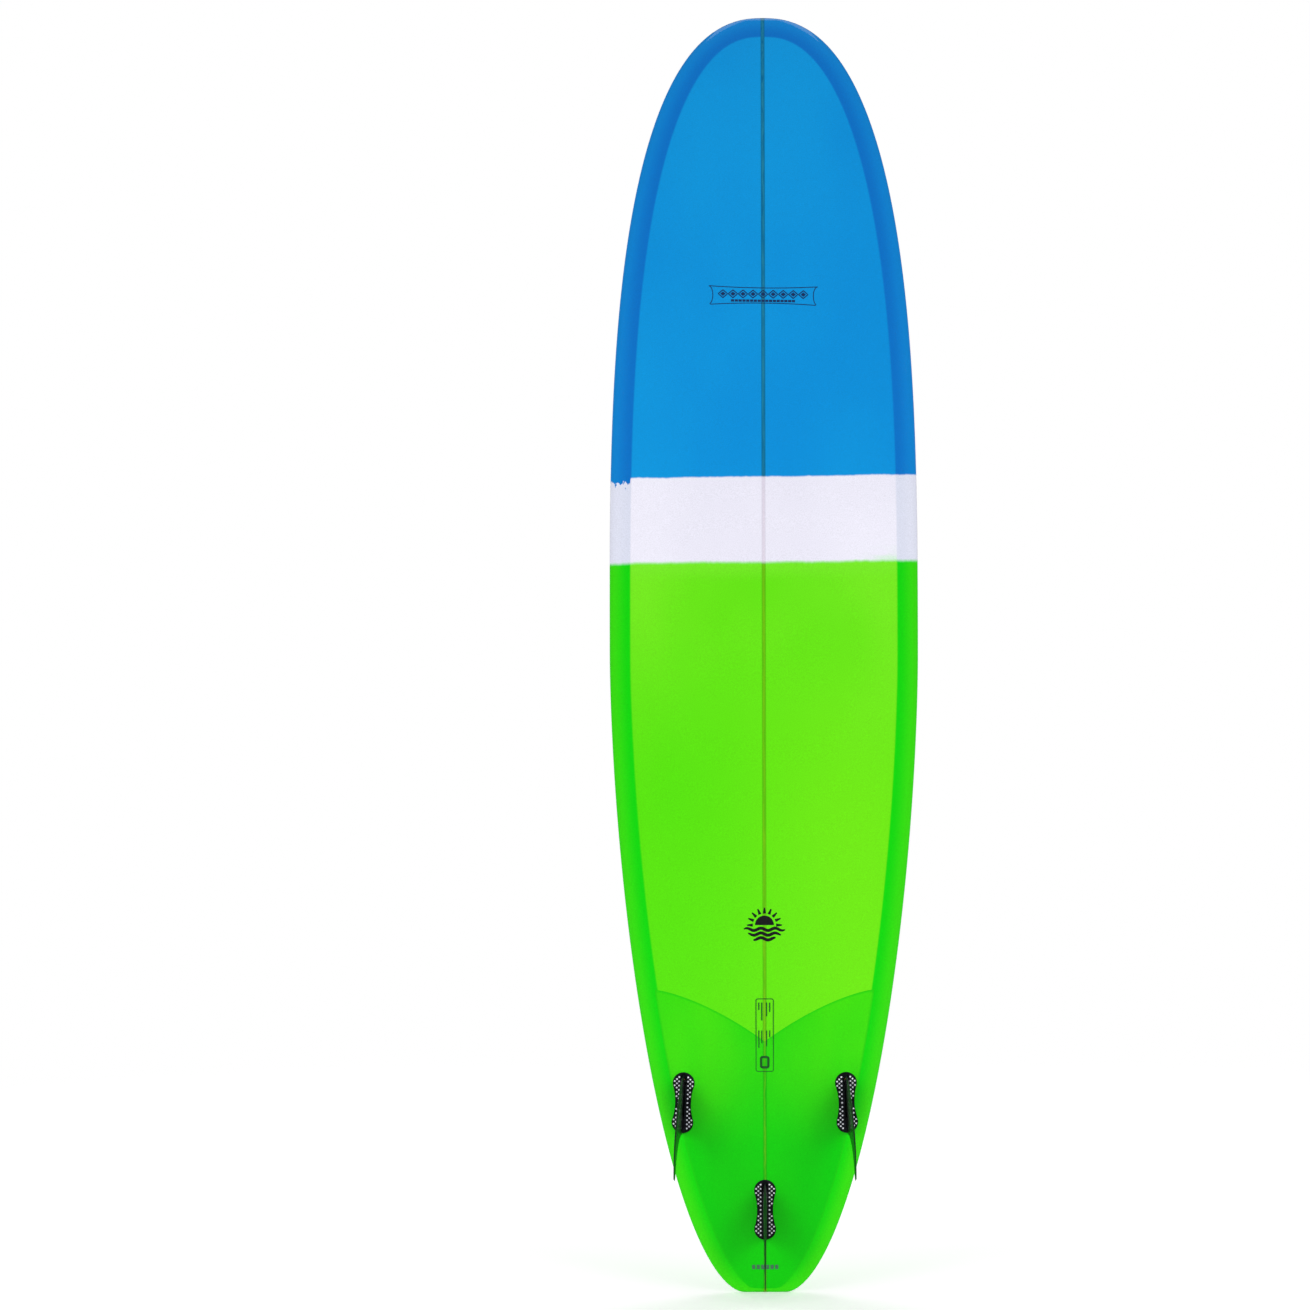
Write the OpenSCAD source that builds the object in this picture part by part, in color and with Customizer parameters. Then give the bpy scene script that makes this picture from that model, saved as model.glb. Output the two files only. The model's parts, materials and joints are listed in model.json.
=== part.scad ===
// Mid-length surfboard standing on its tail: deck to -Y, bottom and fins to +Y, nose up.

/* [View] */
// Piece to draw, or "all"

/* [Board] */
// Length from the tail end to the nose tip
board_length = 2438; // [2100:2:2800]
// Greatest width
board_width = 584; // [520:1:620]
// Thickness at the wide point
board_thickness = 73; // [60:0.5:85]
// Height of the wide point above the tail end
wide_point = 1220; // [1000:10:1400]
// Half width of the flat tail end
tail_half = 40; // [30:1:60]
// Lift of the nose over the flat of the bottom
nose_rocker = 99; // [60:1:140]
// Lift of the tail over the flat of the bottom
tail_rocker = 70; // [40:1:90]
// Share of the thickness that lies under the rail line
rail_share = 0.40; // [0.3:0.01:0.5]

/* [Construction] */
// Thickness of the glass and resin skin
skin = 1; // [0.6:0.1:2]
// Thickness of the wooden stringer
stringer_thick = 4; // [3:0.5:8]
// Inset of the cut lap line from the outline
lap_inset = 38; // [25:1:60]
// Thickness of the extra tail cloth
patch_thick = 0.4; // [0.3:0.1:1]
// Thickness of the printed labels
label_thick = 0.3; // [0.2:0.1:0.6]

/* [Fins] */
// Length of a fin's base
fin_base = 115; // [100:1:125]
// Greatest foil thickness at the base
fin_thick = 8; // [6:0.5:10]
// Foil thickness near the tip
fin_tip_thick = 1.8; // [1:0.1:3]
// Height of the side plugs' middle above the tail end
side_plug_z = 368; // [300:1:420]
// Distance of the side plugs from the stringer
side_plug_x = 155; // [130:1:170]
// Height of the centre plug's middle above the tail end
center_plug_z = 162; // [120:1:200]
// Toe-in of the side fins
toe_in = 2.3; // [0:0.1:4]

/* [Fin plugs] */
// Length of a plug
plug_length = 117; // [110:1:125]
// Width of a plug's round ends
plug_width = 41; // [36:1:44]
// Width of a plug's waist
plug_waist = 30; // [24:1:36]
// Depth of a plug
plug_depth = 20; // [17:0.5:22]
// Width of the slot for the fin's tabs
slot_width = 6.2; // [5.8:0.1:7]
// Depth of the slot
slot_depth = 15; // [14:0.5:16]
// Radius of the sprung barrel
barrel_r = 3; // [2.5:0.1:3.5]
// Length of the sprung barrel
barrel_length = 12; // [10:0.5:14]
// Travel of the barrel against its spring
barrel_travel = 1.5; // [1:0.1:2]

/* [Leash plug] */
// Height of the leash plug above the tail end
leash_z = 62; // [50:1:90]
// Radius of the leash plug's flange
leash_r = 14.25; // [12:0.25:18]
// Radius of the cup
cup_r = 8; // [7:0.25:10]
// Depth of the cup
cup_depth = 13; // [11:0.5:15]
// Radius of the bar that the leash ties to
pin_r = 2; // [1.5:0.1:3]

/* [Labels] */
// Height of the deck ribbon's middle above the tail end
deck_ribbon_z = 1886; // [1700:1:1950]
// Height of the bottom ribbon's middle above the tail end
bottom_ribbon_z = 1896; // [1700:1:1950]
// Height of the round emblem's middle above the tail end
emblem_z = 708; // [650:1:900]
// Height of the data panel's middle above the tail end
spec_panel_z = 497; // [300:1:560]

/* [Hidden] */
$fn = 64;

// Shape of the outline, the rocker, the thickness and the sections
nose_fullness = [3.07, 0.425];
tail_fullness = [1.71, 0.545];
panel_tail_fullness = [1.71, 0.66];
deck_dome = 2.4;
bottom_flat = 5;
bottom_tail_flat = 1.5;
end_round = 6;
end_cut = 0.8;
tip_half = 12;
panel_tip_half = 14;
nose_kick = [11, 1 / 3];
tail_kick = [9, 0.22];
nose_foil = [0.99, 1.5, 0.41];
tail_foil = 0.985;
edge_crowding = 1.8;
x0 = stringer_thick / 2;

// Heights of the sections above the tail, and the same again below the nose
steps = [0, 2, 6, 14, 24, lap_inset, 46, 80, 112, 150, 200, 260, 330, 410, 500, 600, 720, 850, 1000, 1110];
n_steps = len(steps);
stations = concat(
    [for (s = steps) s],
    [wide_point],
    [for (k = [n_steps - 1:-1:0]) board_length - steps[k]]);
last = len(stations) - 1;
panel_first = 5;
panel_last = last - 5;
panel_cols = 5;
lap_cols = 4;
bottom_cols = 9;
rail_col = panel_cols + lap_cols;
cols = rail_col + bottom_cols;
half_points = len(stations) * (cols + 1);

function toward_nose(z, end) = max(0, (z - wide_point) / (end - wide_point));
function toward_tail(z, end) = max(0, (wide_point - z) / (wide_point - end));
function fullness(t, e) = pow(max(0, 1 - pow(min(1, t), e[0])), e[1]);

function half_width(z) = z >= wide_point
    ? max(tip_half, board_width / 2 * fullness(toward_nose(z, board_length), nose_fullness))
    : tail_half + (board_width / 2 - tail_half) * fullness(toward_tail(z, 0), tail_fullness);

function panel_half(z) = z >= wide_point
    ? max(panel_tip_half, (board_width / 2 - lap_inset)
        * fullness(toward_nose(z, board_length - lap_inset), nose_fullness))
    : tail_half + (board_width / 2 - lap_inset - tail_half)
        * fullness(toward_tail(z, lap_inset), panel_tail_fullness);

// A kick is the power of the last upward curve and its share of the rocker
function rocker_curve(s, kick) = (1 - kick[1]) * s * s + kick[1] * pow(s, kick[0]);
function rocker(z) = nose_rocker * rocker_curve(toward_nose(z, board_length), nose_kick)
    + tail_rocker * rocker_curve(toward_tail(z, 0), tail_kick);

function nose_thin(s) = pow(1 - pow(nose_foil[0] * s, nose_foil[1]), nose_foil[2]);
function tail_thin(t) = sqrt(1 - pow(tail_foil * t, 2));
function full_thick(z) = board_thickness
    * (z >= wide_point ? nose_thin(toward_nose(z, board_length)) : tail_thin(toward_tail(z, 0)));

function end_factor(z) = let (d = max(0, 1 - min(z, board_length - z) / end_round))
    sqrt(1 - pow(end_cut * d, 2));

function mid_y(z) = full_thick(0) / 2 + tail_rocker - rocker(z) - full_thick(z) / 2;
function thick(z) = full_thick(z) * end_factor(z);
function bottom_exp(z) = bottom_flat + bottom_tail_flat * toward_tail(z, 0);

// A point of the section at height z: u runs from 0 at the stringer to 1 at the rail,
// and d is the depth under the skin
function deck_y(z, u, d) = let (t = thick(z) - 2 * d)
    mid_y(z) + t * (0.5 - rail_share) - t * (1 - rail_share) * sqrt(max(0, 1 - pow(u, deck_dome)));
function bottom_y(z, u, d) = let (t = thick(z) - 2 * d)
    mid_y(z) + t * (0.5 - rail_share) + t * rail_share * sqrt(max(0, 1 - pow(u, bottom_exp(z))));

function in_panel(i) = i >= panel_first && i <= panel_last;
function panel_u(i) = in_panel(i)
    ? (panel_half(stations[i]) - x0) / (half_width(stations[i]) - x0) : 0.5;
function col_u(i, k) = k <= panel_cols ? panel_u(i) * k / panel_cols
    : k <= rail_col ? 1 - (1 - panel_u(i)) * pow((rail_col - k) / lap_cols, edge_crowding)
    : 1 - pow((k - rail_col) / bottom_cols, edge_crowding);
function point(i, k, d) = let (z = stations[i], u = col_u(i, k))
    [x0 + (half_width(z) - d - x0) * u,
    k <= rail_col ? deck_y(z, u, d) : bottom_y(z, u, d),
    d + z * (1 - 2 * d / board_length)];

function grid(d, side) = [for (i = [0:last]) for (k = [0:cols])
    let (p = point(i, k, d)) [side * p[0], p[1], p[2]]];
function quad(a, b, c, d) = [[a, c, b], [a, d, c]];
function flip(f) = [for (t = f) [for (m = [len(t) - 1:-1:0]) t[m]]];
function flat(l) = [for (a = l) for (b = a) b];
function id(block, i, k) = block * half_points + i * (cols + 1) + k;
function strip(block, i, k) = quad(id(block, i, k), id(block, i, k + 1),
    id(block, i + 1, k + 1), id(block, i + 1, k));
function bridge(r, l, i, k) = quad(id(l, i, k), id(r, i, k), id(r, i + 1, k), id(l, i + 1, k));
function wall(r, s, i, k, j, m) = quad(id(r, i, k), id(r, j, m), id(s, j, m), id(s, i, k));

// Surface of the board at any x, as seen from the bottom or the deck
function across(x, z) = max(0, (abs(x) - x0) / (half_width(z) - x0));
function bottom_at(x, z) = bottom_y(z, across(x, z), 0);
function deck_at(x, z) = deck_y(z, across(x, z), 0);

module half_core() {
    pts = grid(skin, 1);
    sides = flat([for (i = [0:last - 1]) for (k = [0:cols - 1]) strip(0, i, k)]);
    tail_cap = [[for (k = [0:cols]) id(0, 0, k)]];
    nose_cap = [[for (k = [cols:-1:0]) id(0, last, k)]];
    inner = flat([for (i = [0:last - 1])
        quad(id(0, i + 1, 0), id(0, i + 1, cols), id(0, i, cols), id(0, i, 0))]);
    polyhedron(pts, concat(sides, tail_cap, nose_cap, inner), convexity = 8);
}

// Blocks of points: 0 right outer, 1 right inner, 2 left outer, 3 left inner
function skin_points() = concat(grid(0, 1), grid(skin, 1), grid(0, -1), grid(skin, -1));
function covered(i, k) = k < panel_cols && i >= panel_first && i < panel_last;

function shell_faces(deck) = concat(
    flat([for (i = [0:last - 1]) for (k = [0:cols - 1]) if (covered(i, k) == deck)
        concat(strip(0, i, k), flip(strip(1, i, k)), flip(strip(2, i, k)), strip(3, i, k))]),
    flat([for (i = [0:last - 1]) if (covered(i, 0) == deck)
        concat(bridge(0, 2, i, 0), flip(bridge(1, 3, i, 0)))]),
    deck ? [] : flat([for (i = [0:last - 1])
        concat(flip(bridge(0, 2, i, cols)), bridge(1, 3, i, cols))]));

function crown_wall(i) = quad(id(2, i, 0), id(0, i, 0), id(1, i, 0), id(3, i, 0));
function rim_faces() = concat(
    flat([for (i = [panel_first:panel_last - 1])
        concat(wall(0, 1, i, panel_cols, i + 1, panel_cols),
            flip(wall(2, 3, i, panel_cols, i + 1, panel_cols)))]),
    flat([for (k = [0:panel_cols - 1])
        concat(flip(wall(0, 1, panel_last, k, panel_last, k + 1)),
            wall(2, 3, panel_last, k, panel_last, k + 1),
            wall(0, 1, panel_first, k, panel_first, k + 1),
            flip(wall(2, 3, panel_first, k, panel_first, k + 1)))]),
    crown_wall(panel_first),
    flip(crown_wall(panel_last)));

function cap(r, l, i) = [concat([for (k = [0:cols]) id(r, i, k)], [for (k = [cols:-1:0]) id(l, i, k)])];

module deck_shell() {
    polyhedron(skin_points(), concat(shell_faces(true), flip(rim_faces())), convexity = 8);
}

module bottom_shell() {
    caps = concat(cap(0, 2, 0), flip(cap(1, 3, 0)), flip(cap(0, 2, last)), cap(1, 3, last));
    polyhedron(skin_points(), concat(shell_faces(false), rim_faces(), caps), convexity = 8);
}

// A thin sheet laid on the board: rows of points up the board, columns across it
patch_lift = 0.22;
function sheet_id(b, r, c, rows, columns) = b * (rows + 1) * (columns + 1) + r * (columns + 1) + c;
function sheet_quad(b, r, c, rows, columns) = quad(sheet_id(b, r, c, rows, columns),
    sheet_id(b, r, c + 1, rows, columns), sheet_id(b, r + 1, c + 1, rows, columns),
    sheet_id(b, r + 1, c, rows, columns));
function sheet_edge(r, c, r2, c2, rows, columns) = quad(
    sheet_id(1, r, c, rows, columns), sheet_id(1, r2, c2, rows, columns),
    sheet_id(0, r2, c2, rows, columns), sheet_id(0, r, c, rows, columns));
function sheet_faces(rows, columns) = concat(
    flat([for (r = [0:rows - 1]) for (c = [0:columns - 1])
        concat(sheet_quad(0, r, c, rows, columns), flip(sheet_quad(1, r, c, rows, columns)))]),
    flat([for (c = [0:columns - 1])
        concat(sheet_edge(0, c, 0, c + 1, rows, columns),
            flip(sheet_edge(rows, c, rows, c + 1, rows, columns)))]),
    flat([for (r = [0:rows - 1])
        concat(flip(sheet_edge(r, 0, r + 1, 0, rows, columns)),
            sheet_edge(r, columns, r + 1, columns, rows, columns))]));

module deck_sheet(xz, rows, columns, lift, thickness) {
    pts = [for (d = [lift + thickness, lift]) for (p = xz) [p[0], deck_at(p[0], p[1]) - d, p[1]]];
    polyhedron(pts, sheet_faces(rows, columns), convexity = 4);
}

module bottom_sheet(xz, rows, columns, lift, thickness) {
    pts = [for (d = [lift + thickness, lift]) for (p = xz) [p[0], bottom_at(p[0], p[1]) + d, p[1]]];
    polyhedron(pts, flip(sheet_faces(rows, columns)), convexity = 4);
}

function rectangle_xz(z, half_x, half_z, rows, columns) = [for (r = [0:rows]) for (c = [0:columns])
    [half_x * (2 * c / columns - 1), z + half_z * (2 * r / rows - 1)]];
oval_end = 80;
function oval_xz(z, half_x, half_z, rows, columns) = [for (r = [0:rows]) for (c = [0:columns])
    let (a = oval_end * (2 * r / rows - 1)) [half_x * cos(a) * (2 * c / columns - 1), z + half_z * sin(a)]];

// Tail cloth: its upper edge dips to the stringer
patch_tail = 4;
patch_dip = 485;
patch_rise = 98;
patch_sweep = 1.45;
patch_crowding = 1.3;
patch_rows = 14;
patch_cols = 28;
patch_inset = 3;
function patch_top(s) = patch_dip + patch_rise * (1 - pow(1 - abs(s), patch_sweep));
function patch_z(s, r) = patch_tail + (patch_top(s) - patch_tail) * pow(r / patch_rows, patch_crowding);
function patch_xz() = [for (r = [0:patch_rows]) for (c = [0:patch_cols])
    let (s = 2 * c / patch_cols - 1, z = patch_z(s, r))
    [s * (half_width(z) - lap_inset + patch_inset), z]];

// Frames on the board's surface: local Y points out of the bottom, or into the board at the deck
flush = patch_lift + patch_thick;
step_z = 10;
step_x = 5;
module on_bottom(x, z, toe) {
    pitch = -atan((bottom_at(x, z + step_z) - bottom_at(x, z - step_z)) / (2 * step_z));
    cant = atan((bottom_at(x + step_x, z) - bottom_at(x - step_x, z)) / (2 * step_x));
    translate([x, bottom_at(x, z) + flush, z]) rotate([pitch, 0, cant]) rotate([0, -toe, 0]) children();
}
module at_right() { on_bottom(side_plug_x, side_plug_z, toe_in) children(); }
module at_left() { mirror([1, 0, 0]) at_right() children(); }
module at_center() { on_bottom(0, center_plug_z, 0) children(); }
module at_leash() {
    pitch = -atan((deck_at(0, leash_z + step_z) - deck_at(0, leash_z - step_z)) / (2 * step_z));
    translate([0, deck_at(0, leash_z), leash_z]) rotate([pitch, 0, 0]) children();
}

// Fin plug: two round ends joined by a waist whose sides are arcs
seam = 0.1;
over = 6;
end_z = plug_length / 2 - plug_width / 2;
waist_r = (pow(end_z, 2) + pow(plug_waist / 2, 2) - pow(plug_width / 2, 2)) / (plug_width - plug_waist);
waist_x = plug_waist / 2 + waist_r;
tangent = plug_width / 2 / (plug_width / 2 + waist_r);
slot_front = 46;
slot_back = -50;
scoop_front = 57;
scoop_back = 32;
scoop_width = 10.5;
scoop_depth = 4.2;
pivot_z = 40;
pivot_y = -8;
channel_gap = 0.2;
spring_end = 53;
spring_r = 2.4;
spring_bore_r = 1.5;
spring_room = 0.3;
spring_gap = 0.15;
spring_pocket = [42, 53.2];
arc_sides = 180;

module dog_bone(grow) {
    difference() {
        union() {
            for (side = [-1, 1])
                translate([0, side * end_z]) circle(r = plug_width / 2 + grow);
            square([2 * (waist_x * tangent + grow), 2 * end_z * (1 - tangent)], center = true);
        }
        for (side = [-1, 1])
            translate([side * waist_x, 0]) circle(r = waist_r - grow, $fn = arc_sides);
    }
}
module sink(top, depth) {
    translate([0, top, 0]) rotate([90, 0, 0]) linear_extrude(top + depth) children();
}
module plug_pocket() {
    sink(over, plug_depth + seam) dog_bone(seam);
}
module long_hole(back, front, width) {
    for (z = [back + width / 2, front - width / 2]) translate([0, z]) circle(r = width / 2);
    translate([-width / 2, back + width / 2]) square([width, front - back - width]);
}

module fin_plug() {
    channel_x = barrel_length / 2 + 2 * channel_gap;
    channel_r = barrel_r + channel_gap;
    difference() {
        sink(0, plug_depth) dog_bone(0);
        sink(over, slot_depth) long_hole(slot_back, slot_front, slot_width);
        sink(over, scoop_depth) long_hole(scoop_back, scoop_front, scoop_width);
        translate([-channel_x, pivot_y - channel_r, pivot_z - channel_r])
            cube([2 * channel_x, 2 * channel_r, 2 * channel_r + barrel_travel]);
        translate([0, pivot_y, spring_pocket[0]])
            cylinder(r = spring_r + spring_room, h = spring_pocket[1] - spring_pocket[0]);
    }
}
module barrel() {
    translate([-barrel_length / 2, pivot_y, pivot_z]) rotate([0, 90, 0])
        cylinder(r = barrel_r, h = barrel_length);
}
module spring() {
    start = pivot_z + barrel_r + spring_gap;
    translate([0, pivot_y, start]) difference() {
        cylinder(r = spring_r, h = spring_end - start);
        translate([0, 0, -1]) cylinder(r = spring_bore_r, h = spring_end);
    }
}

// Fin: rearward distance from the front of the base, and height over it, for a base of curve_base
curve_base = 115;
fin_scale = fin_base / curve_base;
lead_curve = [[0, 0], [25, 53], [86, 150], [173, 116]];
trail_curve = [[115, 0], [101, 51], [131, 89], [164, 97]];
tip_curve = [[164, 97], [176, 100], [181, 110], [173, 116]];
tip_share = 0.8;
fin_rows = 12;
foil_steps = 8;
fin_front = plug_length / 2 - 5;
side_fin_outer = 0.85;
center_fin_outer = 0.5;
taper = 0.8;
fin_gap = 0.3;
fin_end = 0.98;
edge_thick = 0.4;
tab_thick = 5.6;
tab_depth = 13;
tab_root = 1.2;
notch_fit = 0.05;
front_tab = [26, 40];
rear_tab = [-48, -28];

function bez(p, t) = pow(1 - t, 3) * p[0] + 3 * t * pow(1 - t, 2) * p[1]
    + 3 * t * t * (1 - t) * p[2] + pow(t, 3) * p[3];
function lead(t) = fin_scale * bez(lead_curve, t);
function trail(t) = fin_scale * (t < tip_share ? bez(trail_curve, t / tip_share)
    : bez(tip_curve, (t - tip_share) / (1 - tip_share)));
// Four-digit foil section, 1 across at its thickest, over the chord from 0 to 1
foil_terms = [2.969, -1.26, -3.516, 2.843, -1.036];
function foil(c) = foil_terms[0] * sqrt(c) + foil_terms[1] * c + foil_terms[2] * pow(c, 2)
    + foil_terms[3] * pow(c, 3) + foil_terms[4] * pow(c, 4);
function blade_thick(t) = fin_thick - (fin_thick - fin_tip_thick) * pow(t, taper);
function blade_point(t, c, side) = let (p = lead(t) + c * (trail(t) - lead(t)))
    [side * max(edge_thick / 2, blade_thick(t) * foil(c)), fin_gap + p[1], fin_front - p[0]];
function chord(k) = (1 - cos(180 * k / foil_steps)) / 2;
function blade_ring(t, outer) = concat(
    [for (k = [0:foil_steps]) blade_point(t, chord(k), k % foil_steps == 0 ? 0 : outer)],
    [for (k = [foil_steps - 1:-1:1]) blade_point(t, chord(k), outer - 1)]);

// outer is the share of the foil on the side away from the stringer
module fin(outer) {
    ring = 2 * foil_steps;
    pts = flat([for (j = [0:fin_rows]) blade_ring(fin_end * j / fin_rows, outer)]);
    sides = flat([for (j = [0:fin_rows - 1]) for (k = [0:ring - 1]) let (m = (k + 1) % ring)
        quad(j * ring + k, (j + 1) * ring + k, (j + 1) * ring + m, j * ring + m)]);
    base = [[for (k = [0:ring - 1]) k]];
    tip = [[for (k = [ring - 1:-1:0]) fin_rows * ring + k]];
    polyhedron(pts, concat(flip(sides), flip(base), flip(tip)), convexity = 4);
    difference() {
        for (t = [front_tab, rear_tab])
            translate([-tab_thick / 2, -tab_depth, t[0]])
                cube([tab_thick, tab_depth + fin_gap + tab_root, t[1] - t[0]]);
        translate([-tab_thick, pivot_y, pivot_z]) rotate([0, 90, 0])
            cylinder(r = barrel_r + notch_fit, h = 2 * tab_thick);
    }
}

// Leash plug
flange_thick = 2;
leash_body_r = 12.5;
leash_floor = 3;
pin_depth = 4;
pin_length = 22;
pin_fit = 0.02;
module leash_pocket() {
    translate([0, -over, 0]) rotate([-90, 0, 0]) cylinder(r = leash_r + seam, h = over + flange_thick + seam);
    rotate([-90, 0, 0]) cylinder(r = leash_body_r + seam, h = cup_depth + leash_floor + seam);
}
module pin(r) {
    translate([-pin_length / 2, pin_depth, 0]) rotate([0, 90, 0]) cylinder(r = r, h = pin_length);
}

module fin_pockets() {
    at_right() plug_pocket();
    at_left() plug_pocket();
    at_center() plug_pocket();
}

module foam_right() {
    color("WhiteSmoke") difference() {
        half_core();
        at_right() plug_pocket();
        at_center() plug_pocket();
        at_leash() leash_pocket();
    }
}
module foam_left() { mirror([1, 0, 0]) foam_right(); }
module stringer() {
    deck_line = [for (i = [0:last]) let (p = point(i, 0, skin)) [p[1], p[2]]];
    bottom_line = [for (i = [last:-1:0]) let (p = point(i, cols, skin)) [p[1], p[2]]];
    color("BurlyWood") difference() {
        translate([x0, 0, 0]) rotate([90, 0, -90]) linear_extrude(stringer_thick)
            polygon([for (p = concat(deck_line, bottom_line)) [-p[0], p[1]]]);
        at_center() plug_pocket();
        at_leash() leash_pocket();
    }
}
module deck_laminate() {
    color("DodgerBlue") difference() {
        deck_shell();
        at_leash() leash_pocket();
    }
}
module bottom_laminate() {
    color("LimeGreen") difference() {
        bottom_shell();
        fin_pockets();
    }
}
module tail_patch() {
    color("ForestGreen") difference() {
        bottom_sheet(patch_xz(), patch_rows, patch_cols, patch_lift, patch_thick);
        fin_pockets();
    }
}

module right_fin_plug() { color("DimGray") at_right() fin_plug(); }
module left_fin_plug() { color("DimGray") at_left() fin_plug(); }
module center_fin_plug() { color("DimGray") at_center() fin_plug(); }
module right_barrel() { color("Silver") at_right() barrel(); }
module left_barrel() { color("Silver") at_left() barrel(); }
module center_barrel() { color("Silver") at_center() barrel(); }
module right_spring() { color("Gold") at_right() spring(); }
module left_spring() { color("Gold") at_left() spring(); }
module center_spring() { color("Gold") at_center() spring(); }
module right_fin() { color("Black") at_right() fin(side_fin_outer); }
module left_fin() { color("Black") at_left() fin(side_fin_outer); }
module center_fin() { color("Black") at_center() fin(center_fin_outer); }

module leash_plug() {
    body_end = cup_depth + leash_floor;
    color("White") at_leash() difference() {
        rotate([-90, 0, 0]) rotate_extrude() polygon([[cup_r, 0], [leash_r, 0], [leash_r, flange_thick],
            [leash_body_r, flange_thick], [leash_body_r, body_end], [0, body_end],
            [0, cup_depth], [cup_r, cup_depth]]);
        pin(pin_r + pin_fit);
    }
}
module leash_pin() { color("Gray") at_leash() pin(pin_r); }

// Labels: half width and half height, and the rows and columns of their sheets
ribbon_half = [104, 19];
ribbon_grid = [2, 16];
emblem_half = [40, 33];
emblem_grid = [12, 6];
panel_label_half = [17, 71];
panel_label_grid = [8, 2];
over_patch = flush + 0.1;
function ribbon_xz(z) = rectangle_xz(z, ribbon_half[0], ribbon_half[1], ribbon_grid[0], ribbon_grid[1]);
module deck_ribbon() {
    color("Navy") deck_sheet(ribbon_xz(deck_ribbon_z), ribbon_grid[0], ribbon_grid[1],
        patch_lift, label_thick);
}
module bottom_ribbon() {
    color("Navy") bottom_sheet(ribbon_xz(bottom_ribbon_z), ribbon_grid[0], ribbon_grid[1],
        patch_lift, label_thick);
}
module bottom_emblem() {
    color("Black") bottom_sheet(
        oval_xz(emblem_z, emblem_half[0], emblem_half[1], emblem_grid[0], emblem_grid[1]),
        emblem_grid[0], emblem_grid[1], patch_lift, label_thick);
}
module spec_panel() {
    color("White") bottom_sheet(
        rectangle_xz(spec_panel_z, panel_label_half[0], panel_label_half[1],
            panel_label_grid[0], panel_label_grid[1]),
        panel_label_grid[0], panel_label_grid[1], over_patch, label_thick);
}

foam_left();
foam_right();
stringer();
deck_laminate();
bottom_laminate();
tail_patch();
left_fin_plug();
right_fin_plug();
center_fin_plug();
left_barrel();
right_barrel();
center_barrel();
left_spring();
right_spring();
center_spring();
left_fin();
right_fin();
center_fin();
leash_plug();
leash_pin();
deck_ribbon();
bottom_ribbon();
bottom_emblem();
spec_panel();
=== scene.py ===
"""Looks of an upright mid-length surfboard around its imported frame: nose up, deck to -Y, bottom to +Y."""

import json
import math

import bpy
import numpy as np
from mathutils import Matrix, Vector
from mathutils.kdtree import KDTree


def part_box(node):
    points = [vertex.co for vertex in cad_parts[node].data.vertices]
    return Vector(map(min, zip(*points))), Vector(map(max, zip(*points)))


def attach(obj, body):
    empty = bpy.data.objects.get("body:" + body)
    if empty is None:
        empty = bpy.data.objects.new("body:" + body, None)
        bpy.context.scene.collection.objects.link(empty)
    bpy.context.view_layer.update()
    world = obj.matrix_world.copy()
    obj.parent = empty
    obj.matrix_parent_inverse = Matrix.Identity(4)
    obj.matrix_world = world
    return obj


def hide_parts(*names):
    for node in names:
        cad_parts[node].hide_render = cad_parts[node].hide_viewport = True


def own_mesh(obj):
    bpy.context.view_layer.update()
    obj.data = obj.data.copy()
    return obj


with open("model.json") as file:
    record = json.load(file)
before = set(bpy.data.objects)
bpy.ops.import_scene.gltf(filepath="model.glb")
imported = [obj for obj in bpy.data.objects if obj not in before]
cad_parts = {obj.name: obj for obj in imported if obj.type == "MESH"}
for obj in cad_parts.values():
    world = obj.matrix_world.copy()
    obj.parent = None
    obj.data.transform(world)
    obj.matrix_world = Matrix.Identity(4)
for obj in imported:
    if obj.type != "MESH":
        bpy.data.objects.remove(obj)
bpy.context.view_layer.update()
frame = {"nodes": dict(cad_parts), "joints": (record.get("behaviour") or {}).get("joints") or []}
nodes = frame["nodes"]

# ---- driving sizes, in millimetres
MM = 0.001
skin_low, skin_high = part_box("bottom_laminate")
LENGTH = (skin_high.z - skin_low.z) / MM
WIDTH = (skin_high.x - skin_low.x) / MM
THICKNESS = 73.0
WIDE_POINT = 1220.0
TAIL_HALF = 40.0
NOSE_ROCKER = 99.0
TAIL_ROCKER = 70.0
RAIL_SHARE = 0.40
SKIN = 1.0
LAP_INSET = 38.0
CROWN_HALF = 2.0
# Inner and outer power of an outline
NOSE_FULLNESS = (3.07, 0.425)
TAIL_FULLNESS = (1.71, 0.545)
PANEL_TAIL_FULLNESS = (1.71, 0.66)
# Power of the rocker's kick at an end, and its share of the rise
NOSE_KICK = (11, 1 / 3)
TAIL_KICK = (9, 0.22)
# Reach, inner power and outer power of the nose's thickness, and the reach of the tail's
NOSE_FOIL = (0.99, 1.5, 0.41)
TAIL_FOIL = 0.985
DECK_DOME = 2.4
# Power of the bottom's section at the wide point, and what it gains at the tail
BOTTOM_FLAT = (5.0, 1.5)
END_ROUND = 6.0
END_CUT = 0.95
TIP_HALF = 3.0
PANEL_TIP_HALF = 14.0


# ---- the board's shape
def toward_nose(z, end=LENGTH):
    return np.clip((z - WIDE_POINT) / (end - WIDE_POINT), 0, None)


def toward_tail(z, end=0.0):
    return np.clip((WIDE_POINT - z) / (WIDE_POINT - end), 0, None)


def fullness(t, powers):
    return np.clip(1 - np.clip(t, 0, 1) ** powers[0], 0, None) ** powers[1]


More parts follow.
